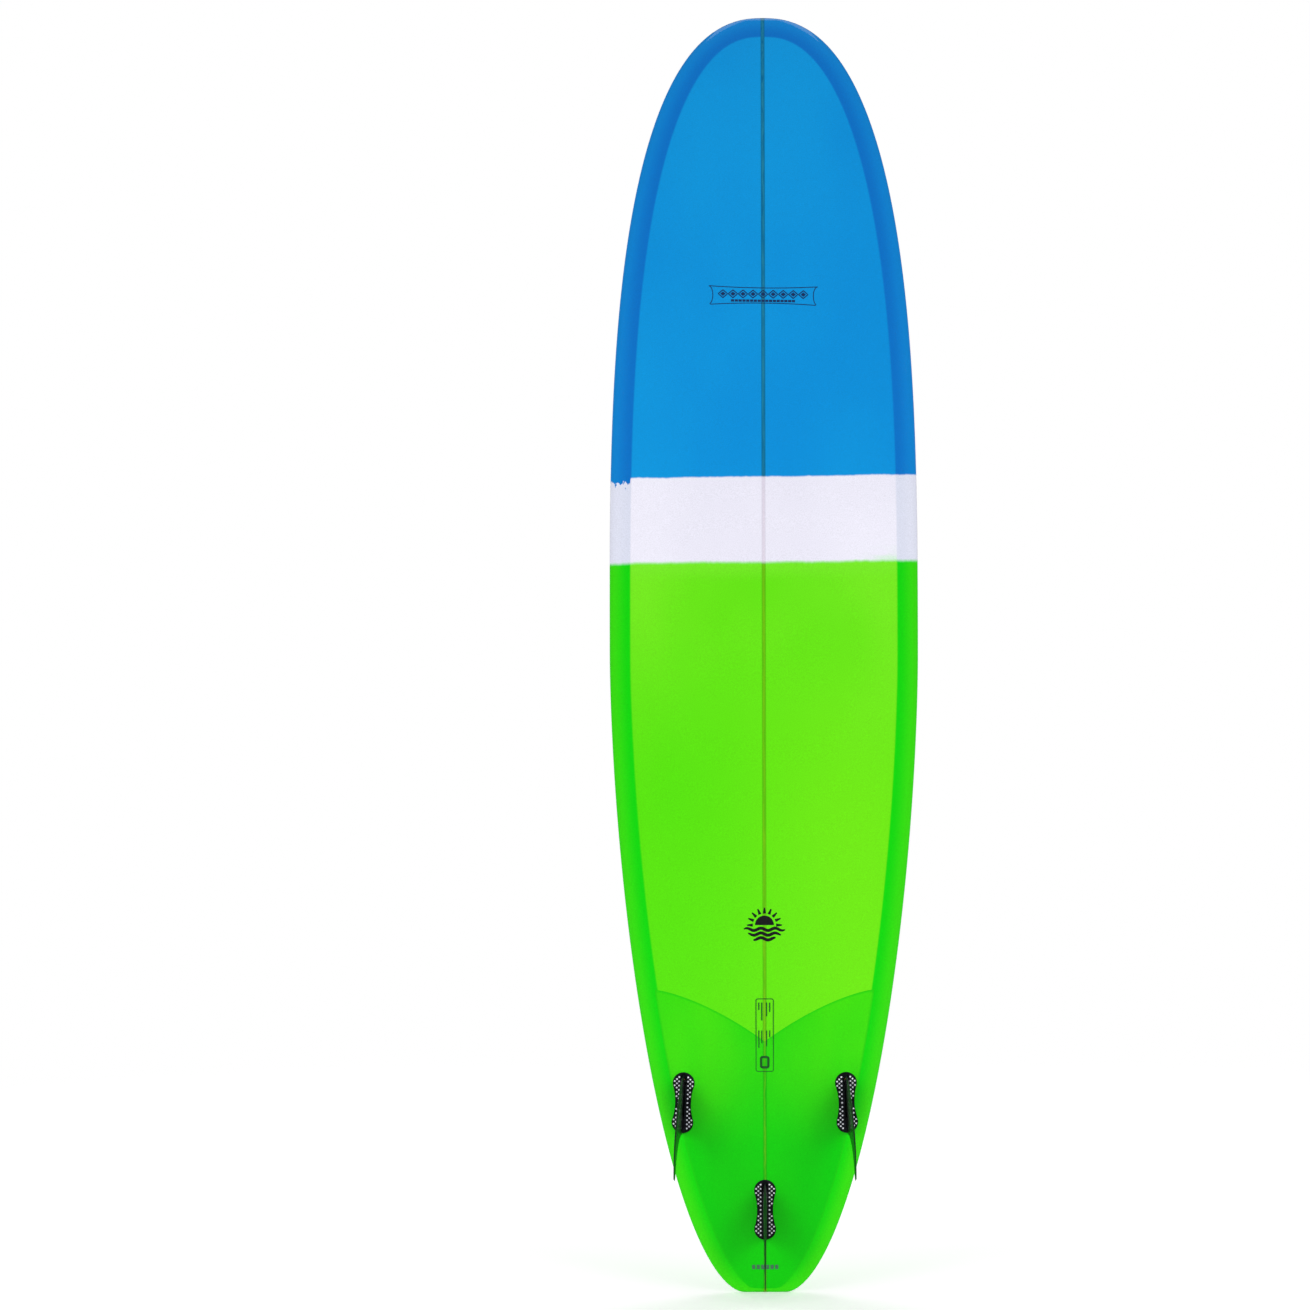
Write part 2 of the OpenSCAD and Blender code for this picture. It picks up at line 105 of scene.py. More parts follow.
def half_width(z):
    z = np.asarray(z, float)
    nose = np.maximum(TIP_HALF, WIDTH / 2 * fullness(toward_nose(z), NOSE_FULLNESS))
    tail = TAIL_HALF + (WIDTH / 2 - TAIL_HALF) * fullness(toward_tail(z), TAIL_FULLNESS)
    return np.where(z >= WIDE_POINT, nose, tail)


def panel_half(z):
    """Half width of the deck panel inside the cut lap line."""
    z = np.asarray(z, float)
    widest = WIDTH / 2 - LAP_INSET
    nose = widest * fullness(toward_nose(z, LENGTH - LAP_INSET), NOSE_FULLNESS)
    tail = TAIL_HALF + (widest - TAIL_HALF) * fullness(toward_tail(z, LAP_INSET), PANEL_TAIL_FULLNESS)
    return np.where(z >= WIDE_POINT, np.maximum(PANEL_TIP_HALF, nose), tail)


def rocker(z):
    s, t = toward_nose(z), toward_tail(z)
    nose = (1 - NOSE_KICK[1]) * s * s + NOSE_KICK[1] * s ** NOSE_KICK[0]
    tail = (1 - TAIL_KICK[1]) * t * t + TAIL_KICK[1] * t ** TAIL_KICK[0]
    return NOSE_ROCKER * nose + TAIL_ROCKER * tail


def full_thickness(z):
    z = np.asarray(z, float)
    nose = np.clip(1 - (NOSE_FOIL[0] * toward_nose(z)) ** NOSE_FOIL[1], 0, None) ** NOSE_FOIL[2]
    tail = np.sqrt(np.clip(1 - (TAIL_FOIL * toward_tail(z)) ** 2, 0, None))
    return THICKNESS * np.where(z >= WIDE_POINT, nose, tail)


def thickness(z):
    near_end = np.clip(1 - np.minimum(z, LENGTH - np.asarray(z, float)) / END_ROUND, 0, 1)
    return full_thickness(z) * np.sqrt(1 - (END_CUT * near_end) ** 2)


def rail_y(z, depth=0.0):
    """Y of the rail's widest line."""
    middle = full_thickness(0.0) / 2 + TAIL_ROCKER - rocker(z) - full_thickness(z) / 2
    return middle + (thickness(z) - 2 * depth) * (0.5 - RAIL_SHARE)


def bottom_power(z):
    return BOTTOM_FLAT[0] + BOTTOM_FLAT[1] * toward_tail(z)


def deck_y(z, u, depth=0.0):
    rise = np.sqrt(np.clip(1 - u ** DECK_DOME, 0, None))
    return rail_y(z, depth) - (thickness(z) - 2 * depth) * (1 - RAIL_SHARE) * rise


def bottom_y(z, u, depth=0.0):
    rise = np.sqrt(np.clip(1 - u ** bottom_power(z), 0, None))
    return rail_y(z, depth) + (thickness(z) - 2 * depth) * RAIL_SHARE * rise


def share_across(x, z):
    return np.clip((np.abs(x) - CROWN_HALF) / (half_width(z) - CROWN_HALF), 0, 1)


def on_board(x, z, bottom, lift=0.0):
    """Points on the bottom or the deck, lifted off it, in millimetres."""
    x, z = np.asarray(x, float), np.asarray(z, float)
    u = share_across(x, z)
    y = bottom_y(z, u) + lift if bottom else deck_y(z, u) - lift
    return np.stack([x, y, z], axis=-1)


# ---- grids of the board's skin
PANEL_COLUMNS = 22
BAND_COLUMNS = 14
FLAT_COLUMNS = 13
TURN_COLUMNS = 24
FLAT_SHARE = 0.6
STATION_STEP = 12.5
END_STATIONS = np.array([0.4, 1.0, 1.9, 3.0, 4.4, 6.0])
STATION_CLEAR = 0.15
LAP_CLEAR = 1.5
FINE_STEPS = 4000
TINY = 1e-6


def stations():
    """Heights of the sections: even steps along the outline, with the lap line's ends among them."""
    fine = np.concatenate([np.geomspace(1e-3, WIDE_POINT, FINE_STEPS), [0.0]])
    fine = np.unique(np.concatenate([fine, LENGTH - fine]))
    run = np.hypot(np.diff(fine), np.diff(half_width(fine)))
    along = np.concatenate([[0.0], np.cumsum(run)])
    count = int(along[-1] / STATION_STEP)
    even = np.interp(np.linspace(0, along[-1], count + 1), along, fine)
    kept = np.array([LAP_INSET, LENGTH - LAP_INSET])
    found = np.unique(np.concatenate([even, END_STATIONS, LENGTH - END_STATIONS]))
    found = found[np.abs(found[:, None] - kept).min(1) > LAP_CLEAR]
    found = np.sort(np.concatenate([found, kept]))
    clear = np.concatenate([[True], np.diff(found) > STATION_CLEAR])
    return found[clear]


def section_columns(z):
    """(u, is it on the bottom) of a half section's columns, from the deck's crown round the rail."""
    inside = LAP_INSET - TINY <= z <= LENGTH - LAP_INSET + TINY
    edge = (panel_half(z) - CROWN_HALF) / (half_width(z) - CROWN_HALF) if inside else 0.5
    panel = edge * np.linspace(0, 1, PANEL_COLUMNS + 1)
    turn = np.linspace(math.asin(edge ** (DECK_DOME / 2)), math.pi / 2, BAND_COLUMNS + 1)[1:]
    band = np.sin(turn) ** (2 / DECK_DOME)
    power = bottom_power(z)
    start = math.asin(FLAT_SHARE ** (power / 2))
    back = np.sin(np.linspace(math.pi / 2, start, TURN_COLUMNS + 1)[1:]) ** (2 / power)
    flat = FLAT_SHARE * np.linspace(1, 0, FLAT_COLUMNS + 1)[1:]
    u = np.concatenate([panel, band, back, flat])
    under = np.arange(len(u)) > PANEL_COLUMNS + BAND_COLUMNS
    return u, under


def skin_grid(heights, depth):
    """The whole surface at this depth: [station, column round the loop], right side first."""
    rows = []
    for z in heights:
        u, under = section_columns(z)
        y = np.where(under, bottom_y(z, u, depth), deck_y(z, u, depth))
        x = CROWN_HALF + (half_width(z) - depth - CROWN_HALF) * u
        right = np.stack([x, y, np.full_like(x, depth + z * (1 - 2 * depth / LENGTH))], axis=-1)
        rows.append(np.concatenate([right, right[::-1] * (-1, 1, 1)]))
    return np.array(rows)


def shell(outer, inner, chosen, capped):
    """A closed shell of the chosen cells between two grids. capped closes both ends with ladders."""
    count, loop = outer.shape[:2]

    def corner(i, k):
        return i * loop + k % loop

    cells = [[corner(i, k), corner(i, k + 1), corner(i + 1, k + 1), corner(i + 1, k)]
             for i, k in zip(*np.nonzero(chosen))]
    if capped:
        half = loop // 2
        for k in range(half - 1):
            right, left = k, loop - 1 - k
            cells.append([corner(0, right + 1), corner(0, right), corner(0, left), corner(0, left - 1)])
            cells.append([corner(count - 1, right), corner(count - 1, right + 1),
                          corner(count - 1, left - 1), corner(count - 1, left)])
    points = np.concatenate([outer.reshape(-1, 3), inner.reshape(-1, 3)])
    return used_only(points, thickened(cells, count * loop))


def thickened(cells, block):
    """Faces of a solid from a sheet of four-sided cells and its copy, whose points come block later."""
    directed = {(c[m], c[(m + 1) % 4]) for c in cells for m in range(4)}
    faces = cells + [[v + block for v in reversed(c)] for c in cells]
    return faces + [[b, a, a + block, b + block] for a, b in directed if (b, a) not in directed]


def used_only(points, faces):
    """Drops the points that no face uses."""
    used = sorted({v for f in faces for v in f})
    place = {v: n for n, v in enumerate(used)}
    return points[used], [[place[v] for v in f] for f in faces]


# ---- making pieces
CRISP = 40


def link(name, data):
    obj = bpy.data.objects.new(name, data)
    bpy.context.scene.collection.objects.link(obj)
    return obj


def make(name, points, faces, material, body="board", slot=None, replaces=(), smooth=CRISP):
    """A mesh piece from points in millimetres, riding on a body."""
    mesh = bpy.data.meshes.new(name)
    mesh.from_pydata((np.asarray(points) * MM).tolist(), [], faces)
    mesh.update()
    obj = link(name, mesh)
    if material:
        mesh.materials.append(material)
    shade(obj, smooth)
    if body:
        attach(obj, body)
    if replaces:
        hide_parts(*replaces)
    return obj


def shade(obj, angle):
    """Smooth shading, with edges sharper than the angle kept crisp."""
    mesh = obj.data
    mesh.polygons.foreach_set("use_smooth", np.ones(len(mesh.polygons), bool))
    mesh.set_sharp_from_angle(angle=math.radians(angle))


def outward(points, faces):
    """A closed solid with its faces turned to look out of it."""
    points = np.asarray(points, float)
    fans = np.array([(f[0], f[k], f[k + 1]) for f in faces for k in range(1, len(f) - 1)])
    a, b, c = (points[fans[:, n]] for n in range(3))
    volume = np.einsum("ij,ij->i", a, np.cross(b, c)).sum()
    return points, faces if volume > 0 else [f[::-1] for f in faces]


def turns(count):
    """Even angles once round."""
    return np.arange(count) * 2 * math.pi / count


def join(parts):
    """One point list and face list from several closed solids."""
    points, faces, start = [], [], 0
    for part_points, part_faces in (outward(*part) for part in parts):
        points.append(part_points)
        faces += [[v + start for v in f] for f in part_faces]
        start += len(part_points)
    return np.concatenate(points), faces


def ring_faces(rows, columns, close_rows=False):
    """Faces of a tube of rows, each a closed ring of columns."""
    last = rows if close_rows else rows - 1
    return [[i * columns + k, i * columns + (k + 1) % columns,
             (i + 1) % rows * columns + (k + 1) % columns, (i + 1) % rows * columns + k]
            for i in range(last) for k in range(columns)]


def prism(outline, low, high):
    """A closed prism of a counter-clockwise XZ outline, from local Y low to high."""
    outline = np.asarray(outline, float)
    n = len(outline)
    points = [[p[0], y, p[1]] for y in (low, high) for p in outline]
    faces = [[k, (k + 1) % n, (k + 1) % n + n, k + n] for k in range(n)]
    return outward(points, faces + [list(range(n - 1, -1, -1)), list(range(n, 2 * n))])


def cut(obj, cutters):
    """Cuts closed cutters out of a piece for good."""
    for cutter in cutters:
        step = obj.modifiers.new("cut", "BOOLEAN")
        step.operation = "DIFFERENCE"
        step.solver = "MANIFOLD"
        step.object = cutter
    bpy.context.view_layer.update()
    shaped = obj.evaluated_get(bpy.context.evaluated_depsgraph_get())
    mesh = bpy.data.meshes.new_from_object(shaped)
    obj.modifiers.clear()
    obj.data = mesh
    shade(obj, CRISP)


def axes_of(obj):
    """X, Y and Z of a piece's points in millimetres."""
    co = np.zeros(len(obj.data.vertices) * 3)
    obj.data.vertices.foreach_get("co", co)
    return co.reshape(-1, 3).T / MM


def write(obj, name, values):
    """Keeps a number for each point, which a material reads by its name."""
    attribute = obj.data.attributes.new(name, "FLOAT", "POINT")
    attribute.data.foreach_set("value", values.astype(np.float32))


def write_distances(obj):
    """Distances for the material: inset from the outline, lap outside the cut lap line, and under, towards
    the bottom from the rail's widest line."""
    x, y, z = axes_of(obj)
    z = np.clip(z, 0, LENGTH)
    lap = distance_to(panel_half, LAP_INSET, LENGTH - LAP_INSET, x, z)
    inside = (np.abs(x) < panel_half(z)) & (z > LAP_INSET) & (z < LENGTH - LAP_INSET)
    write(obj, "inset", distance_to(half_width, 0, LENGTH, x, z))
    write(obj, "lap", np.where(inside, -lap, lap))
    write(obj, "under", y - rail_y(z))


def distance_to(half, low, high, x, z):
    """Distance in X and Z from points to the closed line that half() draws between two heights."""
    near_end = np.geomspace(0.01, 60, 300)
    even = np.linspace(low, high, FINE_STEPS)
    heights = np.unique(np.concatenate([even, low + near_end, high - near_end]))
    line = [np.stack([half(heights), heights], axis=-1)]
    for end in (low, high):
        across = np.linspace(0, float(half(end)), 120)
        line.append(np.stack([across, np.full_like(across, end)], axis=-1))
    line = np.concatenate(line)
    tree = KDTree(len(line))
    for n, (across, up) in enumerate(line):
        tree.insert((across, 0, up), n)
    tree.balance()
    return np.array([tree.find((abs(a), 0, b))[2] for a, b in zip(x, z)])


# ---- materials
def srgb(r, g, b):
    """Linear colour with alpha from 8-bit sRGB."""
    def linear(v):
        v = v / 255
        return v / 12.92 if v <= 0.04045 else ((v + 0.055) / 1.055) ** 2.4
    return (linear(r), linear(g), linear(b), 1.0)


class Graph:
    """A material and short names for the nodes it is made of."""

    def __init__(self, name):
        self.material = bpy.data.materials.new(name)
        self.material.use_nodes = True
        self.tree = self.material.node_tree
        self.shader = self.tree.nodes["Principled BSDF"]
        self.place = self.tree.nodes.new("ShaderNodeTexCoord").outputs["Object"]

    def put(self, value, socket):
        """Links a socket, or sets its value. A colour is three numbers of 8-bit sRGB."""
        if isinstance(value, bpy.types.NodeSocket):
            self.tree.links.new(value, socket)
        elif isinstance(value, tuple) and len(value) == 3:
            socket.default_value = srgb(*value)
        else:
            socket.default_value = value

    def node(self, kind, **sockets):
        node = self.tree.nodes.new("ShaderNode" + kind)
        for name, value in sockets.items():
            self.put(value, node.inputs[name])
        return node

    def math(self, operation, *values):
        node = self.node("Math")
        node.operation = operation
        for value, socket in zip(values, node.inputs):
            self.put(value, socket)
        return node.outputs[0]

    def times(self, a, b):
        return self.math("MULTIPLY", a, b)

    def minus(self, a, b):
        return self.math("SUBTRACT", a, b)

    def size(self, value):
        return self.math("ABSOLUTE", value)

    def mix(self, factor, a, b, blend="MIX"):
        """Colour a where factor is 0, and b, or a blended with b, where it is 1."""
        node = self.node("Mix")
        node.data_type = "RGBA"
        node.blend_type = blend
        for value, number in ((factor, 0), (a, 6), (b, 7)):
            self.put(value, node.inputs[number])
        return node.outputs[2]

    def ramp(self, value, low, high, start=0.0, end=1.0):
        """Smooth change from start to end as value goes from low to high."""
        node = self.node("MapRange")
        node.interpolation_type = "SMOOTHSTEP"
        for number, item in enumerate((value, low, high, start, end)):
            self.put(item, node.inputs[number])
        return node.outputs[0]

    def axes(self):
        """X, Y and Z of the surface in millimetres."""
        outputs = self.node("SeparateXYZ", Vector=self.place).outputs
        return [self.times(out, 1 / MM) for out in outputs]

    def noise(self, per_metre, detail=2.0, stretch=None, rough=0.5):
        place = self.place
        if stretch:
            mapping = self.node("Mapping", Vector=place)
            mapping.inputs["Scale"].default_value = stretch
            place = mapping.outputs[0]
        return self.node("TexNoise", Vector=place, Scale=per_metre, Detail=detail,
                         Roughness=rough).outputs[0]

    def cells(self, per_metre):
        return self.node("TexVoronoi", Vector=self.place, Scale=per_metre).outputs[0]

    def waves(self, per_metre, direction, bend):
        node = self.node("TexWave", Vector=self.place, Scale=per_metre, Distortion=bend)
        node.bands_direction = direction
        return node.outputs["Fac"]

    def read(self, name):
        node = self.node("Attribute")
        node.attribute_name = name
        return node.outputs["Fac"]

    def bump(self, height, strength, depth):
        """A bump of the given strength, with its depth in metres."""
        node = self.node("Bump", Strength=strength, Distance=depth, Height=height)
        self.put(node.outputs[0], self.shader.inputs["Normal"])

    def finish(self, colour, **sockets):
        """Sets the colour and the shader's other sockets, whose names have _ for a space."""
        self.put(colour, self.shader.inputs["Base Color"])
        for name, value in sockets.items():
            self.put(value, self.shader.inputs[name.replace("_", " ")])
        return self.material


# Height of a colour edge at the stringer, and its slope across the board
DECK_BLUE_EDGE = (1538.5, -0.023)
DECK_GREEN_EDGE = (1383.0, -0.018)
BOTTOM_BLUE_EDGE = (1553.0, -0.014)
BOTTOM_GREEN_EDGE = (1391.0, -0.011)
BLUE_SOFT = 4.0
GREEN_SOFT = 9.0
WAVER = 7.0
BRISTLE = 3.0
RAGGED_DROP = (-5.0, -22.0)
STRINGER_HALF = 2.1
GLUE_HALF = 3.3
GRAIN = 0.09


def brushed_edge(g, x, centre, slope):
    """Height of a hand-laid colour edge: nearly straight, with a slow waver and small bristle marks."""
    level = g.math("MULTIPLY_ADD", x, slope, centre)
    slow = g.math("MULTIPLY_ADD", g.noise(9, 2, (1, 0.2, 0.2)), WAVER, -WAVER / 2)
    fine = g.math("MULTIPLY_ADD", g.noise(120, 3, (1, 0.3, 0.25)), BRISTLE, -BRISTLE / 2)
    return g.math("ADD", level, g.math("ADD", slow, fine))


def above(g, z, edge, soft):
    """1 above a colour edge and 0 below it, over a soft width."""
    return g.ramp(g.minus(z, edge), -soft / 2, soft / 2)


class Blocks:
    """The three colour blocks up the board: blue, white and green."""

    def __init__(self, g, x, z, blue_edge, green_edge):
        self.g = g
        self.blue = above(g, z, brushed_edge(g, x, *blue_edge), BLUE_SOFT)
        self.green_line = brushed_edge(g, x, *green_edge)
        self.white = above(g, z, self.green_line, GREEN_SOFT)
        self.green = g.minus(1.0, self.white)
        self.into_green = g.minus(self.green_line, z)

    def colour(self, blue, white, green):
        return self.g.mix(self.blue, self.g.mix(self.white, green, white), blue)

    def lap_line(self, lap, colour):
        """A colour with the dark line of the cut lap drawn on it."""
        line = self.colour((0, 86, 166), (200, 207, 228), (0, 172, 4))
        return self.g.mix(self.g.ramp(self.g.size(lap), 0.6, 3.2, 1.0, 0.0), colour, line)


def stringer_line(g, x, base, wood, glue):
    """The wooden stringer with a dark glue line on each side, seen through the resin."""
    off = g.size(x)
    streak = g.noise(60, 3, (6, 6, 0.15))
    glued = g.mix(g.ramp(off, GLUE_HALF - 0.4, GLUE_HALF + 1.2, 0.95, 0.0), base, glue)
    shade_of = g.mix(g.ramp(streak, 0.35, 0.7), wood, glue)
    return g.mix(g.ramp(off, STRINGER_HALF - 0.5, STRINGER_HALF + 0.5, 1.0, 0.0), glued, shade_of)


def resin_finish(g, colour):
    """Gloss resin over glass cloth: a clear coat on a faint weave, with a foam speckle below."""
    weave = g.times(g.waves(420, "X", 0.4), g.waves(420, "Z", 0.4))
    g.bump(g.math("MULTIPLY_ADD", g.noise(900, 2), 0.35, weave), 0.12, 0.0002)
    dull = g.ramp(g.noise(14, 3), 0.3, 0.7, 0.34, 0.44)
    return g.finish(colour, Roughness=dull, Coat_Weight=1.0, Coat_Roughness=0.035, IOR=1.45,
                    Specular_IOR_Level=0.08)


def speckled(g, colour):
    """A colour with the faint light and dark grain of foam and cloth."""
    grain = g.ramp(g.noise(700, 3, None, 0.7), 0.3, 0.7, 1 - GRAIN, 1 + GRAIN)
    return g.mix(1.0, colour, grain, "MULTIPLY")


def deck_resin():
    g = Graph("deck_resin")
    x, _, z = g.axes()
    lap = g.read("lap")
    blocks = Blocks(g, x, z, DECK_BLUE_EDGE, DECK_GREEN_EDGE)
    cloud = g.ramp(g.noise(3.2, 3, (1, 1, 0.45)), 0.35, 0.65)
    blue = g.mix(cloud, (3, 130, 213), (4, 138, 219))
    # Darker blue towards the nose: partly the resin's own tone, partly painted shade.
    blue = g.mix(g.ramp(z, 1700, 2400), blue, (5, 118, 201))
    white = g.mix(cloud, (224, 227, 243), (230, 232, 247))
    # Darker green along the middle, lighter towards the rails: painted shade.
    green = g.mix(g.ramp(g.size(x), 10, 170), g.mix(cloud, (42, 213, 3), (52, 216, 4)),
                  g.mix(cloud, (50, 214, 3), (64, 219, 4)))
    colour = blocks.colour(blue, white, green)

    pale = g.mix(g.ramp(blocks.into_green, 4, 26, 0.55, 0.0), (64, 219, 4), (104, 226, 52))
    colour = g.mix(g.times(blocks.green, g.ramp(blocks.into_green, 4, 26, 1.0, 0.0)), colour, pale)
    near_lap = blocks.colour((4, 116, 199), (217, 221, 239), (20, 198, 5))
    colour = g.mix(g.ramp(lap, -13, -1, 0.0, 0.75), colour, near_lap)
    colour = blocks.lap_line(lap, colour)

    wood = blocks.colour((22, 116, 148), (216, 214, 230), (88, 190, 8))
    glue = blocks.colour((0, 98, 150), (211, 212, 232), (46, 184, 2))
    shadow = blocks.colour((2, 112, 190), (220, 222, 240), (26, 199, 2))
    colour = g.mix(g.ramp(g.size(x), 3, 11, 0.6, 0.0), colour, shadow)
    return resin_finish(g, speckled(g, stringer_line(g, x, colour, wood, glue)))


def rail_edge(g, below, deck_edge, bottom_edge):
    """Height of a colour edge that steps from the deck's to the bottom's round the rail."""
    return g.math("ADD", g.times(below, bottom_edge[0] - deck_edge[0]), deck_edge[0])


def bottom_resin():
    g = Graph("bottom_resin")
    x, _, z = g.axes()
    inset, lap, under = g.read("inset"), g.read("lap"), g.read("under")
    below = g.ramp(under, -6, 4)
    ragged = g.ramp(g.noise(70, 4, (1, 1, 0.5), 0.7), 0.35, 0.65, *RAGGED_DROP)
    on_rail = g.times(below, g.ramp(inset, LAP_INSET - 1, LAP_INSET + 1, 1.0, 0.0))
    ragged = g.times(ragged, g.times(on_rail, g.ramp(x, 0, 10)))
    blue_edge = g.math("ADD", rail_edge(g, below, DECK_BLUE_EDGE, BOTTOM_BLUE_EDGE), ragged)
    green_edge = rail_edge(g, below, DECK_GREEN_EDGE, BOTTOM_GREEN_EDGE)
    blocks = Blocks(g, x, z, (blue_edge, BOTTOM_BLUE_EDGE[1]), (green_edge, BOTTOM_GREEN_EDGE[1]))

    panel = bottom_panel(g, blocks, x, z)
    band = g.mix(g.ramp(inset, 4, 36), blocks.colour((5, 132, 212), (226, 228, 244), (54, 219, 6)),
                 blocks.colour((2, 113, 199), (218, 221, 238), (8, 211, 3)))
    bottom = g.mix(g.ramp(inset, LAP_INSET, LAP_INSET + 4, 1.0, 0.0), panel, band)
    deck_band = g.mix(g.ramp(lap, 2, 26), blocks.colour((8, 112, 201), (214, 219, 237), (3, 201, 5)),
                      blocks.colour((4, 127, 213), (222, 227, 241), (0, 204, 4)))
    colour = g.mix(below, blocks.lap_line(lap, deck_band), bottom)

    wood = blocks.colour((30, 126, 158), (222, 214, 228), (118, 190, 12))
    glue = blocks.colour((0, 103, 146), (217, 211, 227), (82, 182, 3))
    lined = stringer_line(g, x, colour, wood, glue)
    faint = g.mix(g.ramp(under, -8, -2, 0.45, 1.0), colour, lined)
    return resin_finish(g, speckled(g, faint))


def bottom_panel(g, blocks, x, z):
    """The bottom inside the lap bands, with the green's pale edge and its smear on the white."""
    cloud = g.ramp(g.noise(2.6, 3, (1, 1, 0.6)), 0.35, 0.65)
    blue = g.mix(cloud, (2, 142, 217), (5, 150, 221))
    white = g.mix(cloud, (232, 230, 244), (238, 236, 249))
    low_green = g.mix(g.ramp(x, -200, 200), (110, 228, 14), (84, 222, 3))
    low_green = g.mix(g.times(cloud, 0.25), low_green, (98, 226, 10))
    green = g.mix(g.ramp(z, 900, 1340), low_green, g.mix(cloud, (98, 225, 12), (116, 231, 28)))
    panel = blocks.colour(blue, white, green)
    smear = g.times(g.ramp(x, -250, -165, 1.0, 0.0),
                    g.ramp(g.minus(z, blocks.green_line), 2, 34, 0.6, 0.0))
    smear = g.times(g.times(smear, blocks.white), g.ramp(g.noise(22, 3, (0.6, 1, 1.8)), 0.4, 0.62))
    panel = g.mix(smear, panel, (196, 240, 196))
    fringe = g.times(blocks.green, g.ramp(blocks.into_green, 4, 40, 0.6, 0.0))
    return g.mix(fringe, panel, (122, 232, 42))


def tail_resin():
    g = Graph("tail_resin")
    x, _, z = g.axes()
    cloud = g.ramp(g.noise(5, 3, (1, 1, 0.5)), 0.3, 0.7)
    high = g.mix(cloud, (52, 214, 3), (72, 221, 4))
    mid = g.mix(cloud, (2, 198, 4), (20, 208, 4))
    colour = g.mix(g.ramp(z, 270, 480), mid, high)
    colour = g.mix(g.ramp(g.size(x), 20, 120, 0.45, 0.0), colour, (14, 204, 4))
    colour = g.mix(g.ramp(g.read("border"), 0.5, 5, 0.8, 0.0), colour, (26, 203, 4))
    wood, glue = (84, 184, 12), (18, 178, 3)
    return resin_finish(g, speckled(g, stringer_line(g, x, colour, wood, glue)))


def foam_white():
    g = Graph("foam_white")
    cell = g.cells(1600)
    colour = g.mix(g.ramp(g.noise(12, 3), 0.3, 0.7), (240, 237, 226), (226, 220, 203))
    g.bump(cell, 0.6, 0.0003)
    return g.finish(colour, Roughness=g.ramp(cell, 0.0, 0.8, 0.75, 0.95))


def stringer_wood():
    g = Graph("stringer_wood")
    grain = g.noise(40, 5, (8, 8, 0.25), 0.65)
    rings = g.waves(30, "Y", 5.0)
    base = g.mix(grain, (186, 146, 96), (228, 196, 146))
    colour = g.mix(g.ramp(rings, 0.2, 0.9, 0.0, 0.35), base, (154, 108, 64))
    g.bump(grain, 0.3, 0.0002)
    return g.finish(colour, Roughness=g.ramp(grain, 0.2, 0.8, 0.5, 0.72))


def mottled(name, dark, light, noise, rough, bump, fine=None, low=0.3, **sockets):
    """Mottled between two colours, with uneven gloss, and a bump from the same or a fine noise."""
    g = Graph(name)
    spots = g.noise(*noise)
    g.bump(g.noise(*fine) if fine else spots, *bump)
    colour = g.mix(g.ramp(spots, low, 0.7), dark, light)
    return g.finish(colour, Roughness=g.ramp(spots, 0.3, 0.7, *rough), **sockets)


def moulded(name, dark, light, rough, coat=0.0):
    """Moulded plastic with a fine grain."""
    return mottled(name, dark, light, (60, 3), (rough - 0.06, rough + 0.08), (0.25, 0.00006), (1500, 2),
                   Coat_Weight=coat, Coat_Roughness=0.08)


def brushed_metal(name, base, rough):
    light = tuple(v + 26 for v in base)
    return mottled(name, base, light, (300, 4, (12, 1, 1), 0.7), (rough, rough + 0.15), (0.15, 0.00005),
                   Metallic=1.0)


def ink(name, dark, light):
    """Printed label under resin: nearly even, with the slight mottling of ink."""
    return mottled(name, dark, light, (500, 4, None, 0.7), (0.38, 0.5), (0.1, 0.00003), low=0.35,
                   Coat_Weight=1.0, Coat_Roughness=0.04)


def fin_composite():
    g = Graph("fin_composite")
    weave = g.times(g.waves(900, "Y", 0.2), g.waves(900, "Z", 0.2))
    streak = g.noise(80, 4, (1, 1, 0.2))
    colour = g.mix(g.ramp(streak, 0.3, 0.7), (4, 5, 7), (13, 14, 18))
    # Lighter grey along the thin edges: partly the translucent edge, partly a painted highlight.
    colour = g.mix(g.ramp(g.read("rim"), 0.0, 2.2, 0.55, 0.0), colour, (40, 46, 52))
    g.bump(weave, 0.1, 0.0001)
    rough = g.ramp(streak, 0.3, 0.7, 0.38, 0.5)
    return g.finish(colour, Roughness=rough, Coat_Weight=0.3, Coat_Roughness=0.16)


def rubber():
    g = Graph("spring_rubber")
    fine = g.noise(1200, 3)
    colour = g.mix(fine, (176, 128, 30), (214, 164, 58))
    g.bump(fine, 0.3, 0.0001)
    return g.finish(colour, Roughness=g.ramp(fine, 0.3, 0.7, 0.55, 0.75))


# ---- frames on the board
class Place:
    """A local frame on the board: origin in millimetres, and the world directions of its X, Y and Z."""

    def __init__(self, origin, x_axis, z_axis):
        self.origin = np.asarray(origin, float)
        x_axis, z_axis = Vector(x_axis).normalized(), Vector(z_axis).normalized()
        self.turn = np.array([x_axis, z_axis.cross(x_axis), z_axis])

    def points(self, local):
        return np.asarray(local, float) @ self.turn + self.origin


BARREL_Y = -8.0
BARREL_Z = 40.0
SIDES = ("left", "right", "center")


def plug_place(side):
    """A fin plug's frame: Y out of the bottom and Z to the nose, from its barrel's two joints."""
    joints = {j["name"]: j for j in frame["joints"]}
    hinge, slide = joints[f"{side}_fin_release"], joints[f"{side}_barrel_slide"]
    place = Place((0, 0, 0), hinge["axis"], slide["axis"])
    pivot = np.array(hinge["pos_m"]) / MM
    place.origin = pivot - place.points([[0, BARREL_Y, BARREL_Z]])[0]
    return place


places = {side: plug_place(side) for side in SIDES}

